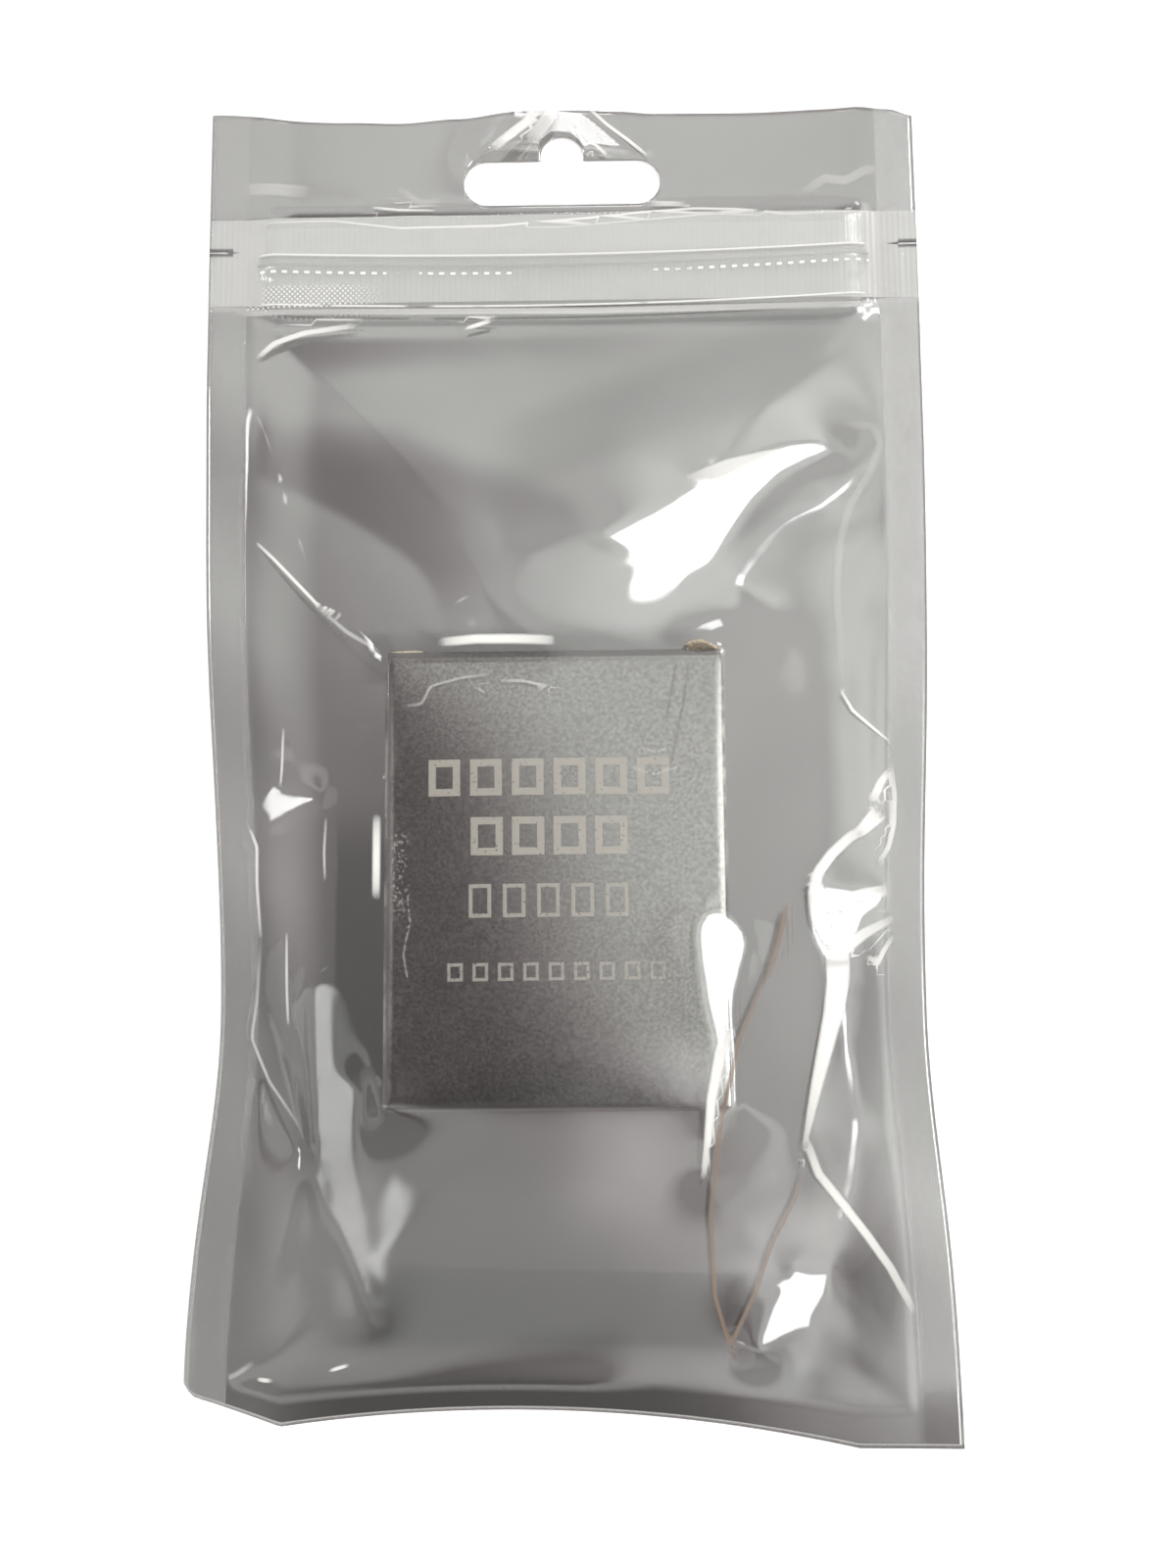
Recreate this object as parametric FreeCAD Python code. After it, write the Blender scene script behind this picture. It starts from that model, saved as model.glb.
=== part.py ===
"""A small retail pack: a zip-top hang bag with a clear front, holding one closed tuck-end carton.

The pack lies on its back. +Z points out of the clear front, +Y towards the hang hole, and the
origin is under the middle of the bag, on the surface that it lies on. Lengths are millimetres.
"""

import FreeCAD
import Part

import os
from dataclasses import dataclass

# Bag: two heat-sealed films, laid-flat size
BAG_WIDTH = 120.0
BAG_LENGTH = 220.0
FILM = 0.12
SIDE_SEAL = 6.5
FOOT_SEAL = 4.5

# Bag: how far the filled bag draws its edges in
WAIST_PULL_LEFT = 4.5
WAIST_PULL_RIGHT = 3.5
FOOT_PULL = 5.5
BENT_CORNER_WIDTH = 15.0
BENT_CORNER_HEIGHT = 8.5

# Bag: height of the welded seam over the surface, and the swell of the front film
FOOT_SEAM_RISE = 0.7
WAIST_SEAM_RISE = 1.1
CHEST_SEAM_RISE = 1.1
CHEST_SWELL = 8.5
CHEST_HALF_WIDTH = 24.0
BELLY_SWELL = 8.4
BELLY_HALF_WIDTH = 22.0
ZIP_LEAD_SWELL = 3.1

# Bag: side folds, as the share of the drop from crown to seam that the fold line stands at
PINCH_FOLD = 0.36
SLACK_FOLD = 0.53
RIDGE_FOLD = 0.65

# Hang hole: a rounded slot with a round lobe over its middle
HANG_WIDTH = 33.5
HANG_HEIGHT = 8.0
HANG_FROM_TOP = 13.0
HANG_LOBE_RADIUS = 3.7
HANG_LOBE_RISE = 0.7

# Press-to-close zip between the films
ZIP_FROM_TOP = 19.5
ZIP_BAND = 15.5
ZIP_TAPE = 0.25
ZIP_TRACK_FROM_BAND_TOP = 7.0
ZIP_CRUSH_RAMP = 7.0
ZIP_LEAD_BELOW = 7.0
ZIP_LEAD_ABOVE = 2.6
RIB_STEM = 0.55
RIB_HEAD = 1.10
RIB_TIP = 0.40
RIB_STEM_HEIGHT = 0.70
RIB_HEAD_HEIGHT = 0.60
TRACK_CLEAR = 0.10
GROOVE_JAW = 0.50

# Tear slits in the crushed ends of the zip
TEAR_SLIT_LENGTH = 5.2
TEAR_SLIT_MOUTH = 1.3
TEAR_SLIT_OVER_TRACK = 1.2

# Carton: folded board, closed at both ends with tucked lids
CARTON_WIDTH = 53.5
CARTON_HEIGHT = 69.0
CARTON_DEPTH = 13.0
CARTON_X = -1.6
CARTON_Y = -24.5
BOARD = 0.45
FOLD_RADIUS = 0.7
HEAD_LID_BULGE = 1.7
FOOT_LID_BULGE = 0.5
LID_SIDE_CLEAR = 0.35
TUCK_GAP = 0.20
SLIT_LOCK_LENGTH = 6.2
SLIT_LOCK_GAP = 0.35
SPRUNG_SLIT_GAP = 1.5
SLIT_LOCK_DEPTH = 2.4
GLUE_SEAM_STEP = 0.18
GLUE_SEAM_INSET = 1.2

# Room that the film keeps from the carton
FILM_CLEAR_OVER = 0.3
FILM_CLEAR_BESIDE = 0.6

# Derived places
HALF_WIDTH = BAG_WIDTH / 2
TOP_EDGE = BAG_LENGTH / 2
FOOT_EDGE = -BAG_LENGTH / 2
ZIP_TOP = TOP_EDGE - ZIP_FROM_TOP
ZIP_BOTTOM = ZIP_TOP - ZIP_BAND
TRACK_Y = ZIP_TOP - ZIP_TRACK_FROM_BAND_TOP
TRACK_HEIGHT = RIB_STEM_HEIGHT + RIB_HEAD_HEIGHT + TRACK_CLEAR
ZIP_SEAM_RISE = FILM + ZIP_TAPE + TRACK_HEIGHT / 2
ZIP_CROWN_HALF = HALF_WIDTH - SIDE_SEAL - ZIP_CRUSH_RAMP

CARTON_LEFT = CARTON_X - CARTON_WIDTH / 2
CARTON_RIGHT = CARTON_X + CARTON_WIDTH / 2
CARTON_FOOT = CARTON_Y - CARTON_HEIGHT / 2
CARTON_HEAD = CARTON_Y + CARTON_HEIGHT / 2
CARTON_BACK = FILM
CARTON_FRONT = CARTON_BACK + CARTON_DEPTH

PACK_HEIGHT = CARTON_FRONT + FILM_CLEAR_OVER + FILM
CUT_BELOW = -1.0
CUT_HEIGHT = PACK_HEIGHT + 2.0


@dataclass
class Station:
    """One cross-section of the bag, square to its length.

    Heights are those of the inner face of the front film; the seam is where both films meet.
    """

    y: float
    pull: float
    seam: float
    crown_left: float
    crown_right: float
    crown: float
    left_fold: float = SLACK_FOLD
    right_fold: float = SLACK_FOLD
    tape: float = 0.0
    floor: float = FILM
    bow: float = 0.0

    def xs(self):
        """Across-the-bag places of the edge, seam, fold and crown points, left to right."""
        left = -HALF_WIDTH + WAIST_PULL_LEFT * self.pull
        right = HALF_WIDTH - WAIST_PULL_RIGHT * self.pull
        left_seam = left + SIDE_SEAL
        right_seam = right - SIDE_SEAL
        left_fold = (left_seam + self.crown_left) / 2
        right_fold = (right_seam + self.crown_right) / 2
        return [left, left_seam, left_fold, self.crown_left,
                self.crown_right, right_fold, right_seam, right]

    def ys(self):
        """Along-the-bag places of the same points: a bowed station dips towards the corners."""
        return [self.y - self.bow * (x / HALF_WIDTH) ** 2 for x in self.xs()]

    def front(self):
        """Heights of the front film's inner face at those points."""
        edge = self.seam + self.tape
        rise = self.crown - edge
        left = edge + rise * self.left_fold
        right = edge + rise * self.right_fold
        return [edge, edge, left, self.crown, self.crown, right, edge, edge]

    def back(self):
        """Heights of the back film's inner face at the same points."""
        edge = self.seam - self.tape
        if self.tape:
            fold = (edge + self.floor) / 2
        else:
            fold = self.floor
        return [edge, edge, fold, self.floor, self.floor, fold, edge, edge]


def flat_station(y, seam, bow=0.0):
    """A cross-section where the two films lie against each other over the whole width."""
    return Station(y, 0.0, seam, -ZIP_CROWN_HALF, ZIP_CROWN_HALF, seam, floor=seam, bow=bow)


def zip_station(y):
    """A cross-section through the zip band, with its ends crushed flat in the side seals."""
    crown = ZIP_SEAM_RISE + TRACK_HEIGHT / 2 + ZIP_TAPE
    return Station(y, 0.0, ZIP_SEAM_RISE, -ZIP_CROWN_HALF, ZIP_CROWN_HALF, crown, tape=ZIP_TAPE)


def bag_stations():
    """Cross-sections of the filled bag from its foot to its open top edge."""
    left = CARTON_LEFT - FILM_CLEAR_BESIDE
    right = CARTON_RIGHT + FILM_CLEAR_BESIDE
    over = CARTON_FRONT + FILM_CLEAR_OVER
    foot = CARTON_FOOT - FOOT_LID_BULGE - FILM_CLEAR_BESIDE
    head = CARTON_HEAD + HEAD_LID_BULGE + FILM_CLEAR_BESIDE
    foot_seam = FOOT_EDGE + FOOT_PULL + FOOT_SEAL
    zip_lead = ZIP_BOTTOM - ZIP_LEAD_BELOW
    belly = (foot_seam + foot) / 2
    chest = (zip_lead + head) / 2
    lower_side = (foot + CARTON_Y) / 2
    upper_side = (head + CARTON_Y) / 2
    half_pulled = 0.5
    quarter_pulled = 0.25
    fully_pulled = 1.0
    nearly_pulled = 0.85
    return [
        flat_station(FOOT_EDGE, FOOT_SEAM_RISE),
        flat_station(foot_seam, FOOT_SEAM_RISE, FOOT_PULL),
        Station(belly, half_pulled, (FOOT_SEAM_RISE + WAIST_SEAM_RISE) / 2,
                -BELLY_HALF_WIDTH, BELLY_HALF_WIDTH, BELLY_SWELL, PINCH_FOLD, RIDGE_FOLD),
        Station(foot, fully_pulled, WAIST_SEAM_RISE, left, right, over, PINCH_FOLD, PINCH_FOLD),
        Station(lower_side, fully_pulled, WAIST_SEAM_RISE, left, right, over, RIDGE_FOLD, PINCH_FOLD),
        Station(upper_side, nearly_pulled, WAIST_SEAM_RISE, left, right, over, PINCH_FOLD, SLACK_FOLD),
        Station(head, half_pulled, WAIST_SEAM_RISE, left, right, over),
        Station(chest, quarter_pulled, CHEST_SEAM_RISE,
                -CHEST_HALF_WIDTH, CHEST_HALF_WIDTH, CHEST_SWELL, RIDGE_FOLD, SLACK_FOLD),
        Station(zip_lead, 0.0, ZIP_SEAM_RISE, -ZIP_CROWN_HALF, ZIP_CROWN_HALF, ZIP_LEAD_SWELL),
        zip_station(ZIP_BOTTOM),
        zip_station(ZIP_TOP),
        flat_station(ZIP_TOP + ZIP_LEAD_ABOVE, ZIP_SEAM_RISE),
        flat_station(TOP_EDGE, ZIP_SEAM_RISE),
    ]


def closed_wire(points):
    """A closed polygon through the points."""
    return Part.makePolygon(points + [points[0]])


def prism(points, travel):
    """A closed polygon pushed along a vector into a solid."""
    return Part.Face(closed_wire(points)).extrude(travel)


def strip_points(xs, ys, heights, thickness):
    """Outline of a thin strip: along its given face and back along the face beside it."""
    near = [FreeCAD.Vector(x, y, z) for x, y, z in zip(xs, ys, heights)]
    far = [point + FreeCAD.Vector(0, 0, thickness) for point in near]
    return near + far[::-1]


def film_sheet(stations, heights_of, thickness):
    """A film lofted straight from section to section, so that its folds stay crisp."""
    wires = []
    for station in stations:
        outline = strip_points(station.xs(), station.ys(), heights_of(station), thickness)
        wires.append(closed_wire(outline))
    return Part.makeLoft(wires, True, True)


def foot_trim():
    """What the drawn-in foot edge and its bent corner leave off the laid-flat outline."""
    left = FreeCAD.Vector(-HALF_WIDTH, FOOT_EDGE, CUT_BELOW)
    middle = FreeCAD.Vector(0, FOOT_EDGE + FOOT_PULL, CUT_BELOW)
    right = FreeCAD.Vector(HALF_WIDTH, FOOT_EDGE, CUT_BELOW)
    bow = Part.Arc(left, middle, right).toShape()
    chord = Part.makeLine(right, left)
    bowed = Part.Face(Part.Wire([bow, chord])).extrude(FreeCAD.Vector(0, 0, CUT_HEIGHT))
    corner = prism(
        [
            left,
            left + FreeCAD.Vector(BENT_CORNER_WIDTH, 0, 0),
            left + FreeCAD.Vector(0, BENT_CORNER_HEIGHT, 0),
        ],
        FreeCAD.Vector(0, 0, CUT_HEIGHT),
    )
    return bowed.fuse(corner)


def hang_hole():
    """A rounded slot with a round lobe, through both films of the header."""
    y = TOP_EDGE - HANG_FROM_TOP
    radius = HANG_HEIGHT / 2
    reach = HANG_WIDTH / 2 - radius
    slot = Part.makeBox(2 * reach, HANG_HEIGHT, CUT_HEIGHT, FreeCAD.Vector(-reach, y - radius, CUT_BELOW))
    for x in (-reach, reach):
        slot = slot.fuse(Part.makeCylinder(radius, CUT_HEIGHT, FreeCAD.Vector(x, y, CUT_BELOW)))
    lobe_y = y + radius + HANG_LOBE_RISE
    lobe = Part.makeCylinder(HANG_LOBE_RADIUS, CUT_HEIGHT, FreeCAD.Vector(0, lobe_y, CUT_BELOW))
    neck = Part.makeBox(
        2 * HANG_LOBE_RADIUS, HANG_LOBE_RISE + radius, CUT_HEIGHT,
        FreeCAD.Vector(-HANG_LOBE_RADIUS, y, CUT_BELOW),
    )
    return slot.fuse([lobe, neck]).removeSplitter()


def tear_slits():
    """Tapered slits from both side edges into the crushed ends of the zip."""
    y = TRACK_Y + TEAR_SLIT_OVER_TRACK
    slits = []
    for side in (-1, 1):
        edge = side * HALF_WIDTH
        tip = FreeCAD.Vector(edge - side * TEAR_SLIT_LENGTH, y, CUT_BELOW)
        upper = FreeCAD.Vector(edge, y + TEAR_SLIT_MOUTH / 2, CUT_BELOW)
        lower = FreeCAD.Vector(edge, y - TEAR_SLIT_MOUTH / 2, CUT_BELOW)
        slits.append(prism([tip, upper, lower], FreeCAD.Vector(0, 0, CUT_HEIGHT)))
    return slits[0].fuse(slits[1])


def front_film():
    """The clear front film, drawn tight over the carton and folded beside it."""
    sheet = film_sheet(bag_stations(), Station.front, FILM)
    return sheet.cut([foot_trim(), hang_hole(), tear_slits()]).removeSplitter()


def back_film():
    """The silvery back film, flat on the surface and turned up to the seam round its edge."""
    sheet = film_sheet(bag_stations(), Station.back, -FILM)
    return sheet.cut([foot_trim(), hang_hole(), tear_slits()]).removeSplitter()


def zip_tape(heights, thickness):
    """The flat tape that one half of the zip stands on, welded to its film."""
    station = zip_station(ZIP_BOTTOM)
    outline = strip_points(station.xs(), station.ys(), heights, thickness)
    return prism(outline, FreeCAD.Vector(0, ZIP_BAND, 0)).cut(tear_slits())


def track_profile(half_widths, heights):
    """A zip profile, mirrored about the track's middle and run between the crushed ends."""
    lower = [FreeCAD.Vector(-ZIP_CROWN_HALF, TRACK_Y - w, z) for w, z in zip(half_widths, heights)]
    upper = [FreeCAD.Vector(-ZIP_CROWN_HALF, TRACK_Y + w, z) for w, z in zip(half_widths, heights)]
    return prism(lower + upper[::-1], FreeCAD.Vector(2 * ZIP_CROWN_HALF, 0, 0))


def zip_rib_strip():
    """The back half of the zip: a tape with an arrow-headed rib."""
    station = zip_station(ZIP_BOTTOM)
    tape = zip_tape(station.back(), ZIP_TAPE)
    base = station.floor + ZIP_TAPE
    neck = base + RIB_STEM_HEIGHT
    rib = track_profile(
        [RIB_STEM / 2, RIB_STEM / 2, RIB_HEAD / 2, RIB_TIP / 2],
        [base, neck, neck, neck + RIB_HEAD_HEIGHT],
    )
    return tape.fuse(rib).removeSplitter()


def zip_groove_strip():
    """The front half of the zip: a tape with two hooked jaws that hold the rib."""
    station = zip_station(ZIP_BOTTOM)
    tape = zip_tape(station.front(), -ZIP_TAPE)
    roof = station.crown - ZIP_TAPE
    lips = station.floor + ZIP_TAPE + TRACK_CLEAR
    hook = station.floor + ZIP_TAPE + RIB_STEM_HEIGHT - TRACK_CLEAR
    cavity_half = RIB_HEAD / 2 + TRACK_CLEAR
    mouth_half = RIB_STEM / 2 + TRACK_CLEAR
    jaws = track_profile([cavity_half + GROOVE_JAW] * 2, [lips, roof])
    cavity = track_profile([mouth_half, mouth_half, cavity_half, cavity_half], [lips, hook, hook, roof])
    return tape.fuse(jaws.cut(cavity)).removeSplitter()


def tucked_lid(end, outward, bulge):
    """A lid that folds over from the back panel, bows out and tucks in behind the front panel.

    The outline lies square to the carton's width: up the bowed face, round the tuck fold at the
    front and back to the carton's end.
    """
    x = CARTON_LEFT + LID_SIDE_CLEAR
    tuck = CARTON_FRONT - BOARD - TUCK_GAP
    hinge = FreeCAD.Vector(x, end, CARTON_BACK + FOLD_RADIUS)
    crown = FreeCAD.Vector(x, end + outward * bulge, (CARTON_BACK + 2 * tuck) / 3)
    brow = FreeCAD.Vector(x, end + outward * bulge * 0.8, tuck - FOLD_RADIUS)
    round_over = FreeCAD.Vector(x, end + outward * bulge * 0.55, tuck - FOLD_RADIUS * 0.25)
    inside = FreeCAD.Vector(x, end, tuck)
    bow = Part.Arc(hinge, crown, brow).toShape()
    fold = Part.Arc(brow, round_over, inside).toShape()
    seat = Part.makeLine(inside, hinge)
    face = Part.Face(Part.Wire([bow, fold, seat]))
    return face.extrude(FreeCAD.Vector(CARTON_WIDTH - 2 * LID_SIDE_CLEAR, 0, 0))


def slit_lock(side, end, outward, gap):
    """The slit at one end of a lid's tuck fold, where the dust flap's shoulder catches it."""
    start = CARTON_LEFT if side < 0 else CARTON_RIGHT - SLIT_LOCK_LENGTH
    middle = start + SLIT_LOCK_LENGTH / 2
    z = CARTON_FRONT - BOARD - TUCK_GAP - FOLD_RADIUS
    low = FreeCAD.Vector(start, end, z)
    high = FreeCAD.Vector(start + SLIT_LOCK_LENGTH, end, z)
    bent = FreeCAD.Vector(middle, end, z + gap)
    mouth = Part.Wire([Part.makeLine(high, low), Part.Arc(low, bent, high).toShape()])
    return Part.Face(mouth).extrude(FreeCAD.Vector(0, outward * SLIT_LOCK_DEPTH, 0))


def carton():
    """The closed board carton with what it holds, as one piece."""
    body = Part.makeBox(
        CARTON_WIDTH, CARTON_HEIGHT, CARTON_DEPTH,
        FreeCAD.Vector(CARTON_LEFT, CARTON_FOOT, CARTON_BACK),
    )
    long_folds = [edge for edge in body.Edges if abs(edge.tangentAt(edge.FirstParameter).y) > 0.5]
    body = body.makeFillet(FOLD_RADIUS, long_folds)
    ends = ((CARTON_HEAD, 1, HEAD_LID_BULGE), (CARTON_FOOT, -1, FOOT_LID_BULGE))
    for end, outward, bulge in ends:
        body = body.fuse(tucked_lid(end, outward, bulge))
    body = body.cut(slit_lock(-1, CARTON_HEAD, 1, SLIT_LOCK_GAP))
    body = body.cut(slit_lock(1, CARTON_HEAD, 1, SPRUNG_SLIT_GAP))
    seam = Part.makeBox(
        GLUE_SEAM_STEP, CARTON_HEIGHT, GLUE_SEAM_STEP,
        FreeCAD.Vector(CARTON_LEFT, CARTON_FOOT, CARTON_BACK + GLUE_SEAM_INSET),
    )
    return body.cut(seam)


def main():
    """Build every piece and write it to its own file."""
    os.makedirs("parts", exist_ok=True)
    pieces = {
        "front_film": front_film(),
        "back_film": back_film(),
        "zip_groove_strip": zip_groove_strip(),
        "zip_rib_strip": zip_rib_strip(),
        "carton": carton(),
    }
    for name, shape in pieces.items():
        shape.exportStep("parts/" + name + ".step")
        box = shape.BoundBox
        print(name, shape.isValid(), len(shape.Solids), round(shape.Volume, 2),
              [round(v, 2) for v in (box.XMin, box.YMin, box.ZMin, box.XMax, box.YMax, box.ZMax)])


main()
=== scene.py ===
"""Dresses a zip hang bag with a clear front, and the tuck-end carton inside it, as a studio picture.

The bag lies on its back. Lengths inside the classes are millimetres, in the frame's own axes: +Y runs
towards the hang hole and +Z out of the clear front. They become metres when a mesh is made.
"""

from __future__ import annotations

import logging
import math
from collections.abc import Iterator
from dataclasses import dataclass, field
from enum import Enum
from functools import reduce
from operator import mul
from typing import Any

import bmesh
import bpy
import numpy as np
from mathutils import Matrix, Vector


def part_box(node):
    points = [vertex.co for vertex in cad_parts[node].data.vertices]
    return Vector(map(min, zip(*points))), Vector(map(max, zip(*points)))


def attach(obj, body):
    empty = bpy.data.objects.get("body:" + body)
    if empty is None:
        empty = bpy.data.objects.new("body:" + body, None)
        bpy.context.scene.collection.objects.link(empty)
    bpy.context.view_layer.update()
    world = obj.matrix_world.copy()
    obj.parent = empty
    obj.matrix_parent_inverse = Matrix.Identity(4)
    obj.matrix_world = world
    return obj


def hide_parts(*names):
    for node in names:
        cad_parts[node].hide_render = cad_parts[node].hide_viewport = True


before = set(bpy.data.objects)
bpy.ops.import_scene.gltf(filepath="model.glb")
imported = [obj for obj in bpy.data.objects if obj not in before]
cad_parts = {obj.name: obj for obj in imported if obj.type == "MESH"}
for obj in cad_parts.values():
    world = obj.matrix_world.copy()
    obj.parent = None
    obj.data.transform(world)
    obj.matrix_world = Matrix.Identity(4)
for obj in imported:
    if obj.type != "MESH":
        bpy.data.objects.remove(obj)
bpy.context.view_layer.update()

LOG = logging.getLogger("hang_bag")
MM = 0.001
ROOT = "root"
FLAT_UV = "flat"
LINE_UV = "lines"

Point = tuple[float, float]
Colour = tuple[float, float, float]
WHITE: Colour = (1.0, 1.0, 1.0)
BLACK: Colour = (0.0, 0.0, 0.0)


def tone(red: float, green: float, blue: float) -> Colour:
    """Turns a display colour of 0 to 255 into the linear colour that a shader takes.

    Args:
        red: Display red.
        green: Display green.
        blue: Display blue.

    Returns:
        The linear colour.
    """
    def linear(level: float) -> float:
        """Linear level of one display level."""
        share = level / 255.0
        return share / 12.92 if share <= 0.04045 else ((share + 0.055) / 1.055) ** 2.4

    return linear(red), linear(green), linear(blue)


def shaded(colour: Colour, share: float) -> Colour:
    """A colour made darker, or paler with a share above 1."""
    return tuple(part * share for part in colour)


def smooth_step(low: float, high: float, value: np.ndarray) -> np.ndarray:
    """Rises smoothly from 0 at low to 1 at high.

    Args:
        low: Where the rise starts.
        high: Where it ends.
        value: The numbers to map.

    Returns:
        The mapped numbers.
    """
    share = np.clip((value - low) / (high - low), 0.0, 1.0)
    return share * share * (3.0 - 2.0 * share)


class Value:
    """A number socket that adds Math nodes when it is used in an expression."""

    def __init__(self, graph: Graph, socket: bpy.types.NodeSocket) -> None:
        """Keeps the socket and the graph that it belongs to."""
        self.graph = graph
        self.socket = socket

    def _math(self, operation: str, *operands: Any) -> Value:
        """Adds one Math node and returns its result.

        Args:
            operation: The node's operation.
            operands: Its inputs, in order.

        Returns:
            The node's result.
        """
        made = self.graph.tree.nodes.new("ShaderNodeMath")
        made.operation = operation
        for socket, operand in zip(made.inputs, operands):
            self.graph.feed(socket, operand)
        return Value(self.graph, made.outputs[0])

    def __add__(self, other: Any) -> Value:
        """Sum."""
        return self._math("ADD", self, other)

    __radd__ = __add__

    def __sub__(self, other: Any) -> Value:
        """Difference."""
        return self._math("SUBTRACT", self, other)

    def __rsub__(self, other: Any) -> Value:
        """Reflected difference."""
        return self._math("SUBTRACT", other, self)

    def __mul__(self, other: Any) -> Value:
        """Product."""
        return self._math("MULTIPLY", self, other)

    __rmul__ = __mul__

    def __truediv__(self, other: Any) -> Value:
        """Quotient."""
        return self._math("DIVIDE", self, other)

    def __abs__(self) -> Value:
        """Size without sign."""
        return self._math("ABSOLUTE", self)

    def __pow__(self, other: Any) -> Value:
        """Power."""
        return self._math("POWER", self, other)

    def floor(self) -> Value:
        """The next whole number below."""
        return self._math("FLOOR", self)

    def wave(self, pitch: float) -> Value:
        """A sine wave from -1 to 1 with that pitch."""
        return self._math("SINE", self * (2 * math.pi / pitch))

    def least(self, other: Any) -> Value:
        """The smaller of two numbers."""
        return self._math("MINIMUM", self, other)

    def most(self, other: Any) -> Value:
        """The larger of two numbers."""
        return self._math("MAXIMUM", self, other)

    def ramp(self, low: float, high: float, start: float = 0.0, end: float = 1.0) -> Value:
        """Maps low to high smoothly onto start to end, and holds it beyond them.

        Args:
            low: Where the change starts.
            high: Where it ends.
            start: The result at low.
            end: The result at high.

        Returns:
            The mapped number.
        """
        limits = {"From Min": low, "From Max": high, "To Min": start, "To Max": end}
        if low > high:
            limits = {"From Min": high, "From Max": low, "To Min": end, "To Max": start}
        made = self.graph.node(
            "ShaderNodeMapRange", {"interpolation_type": "SMOOTHSTEP"}, {"Value": self, **limits}
        )
        return Value(self.graph, made.outputs["Result"])


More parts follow.
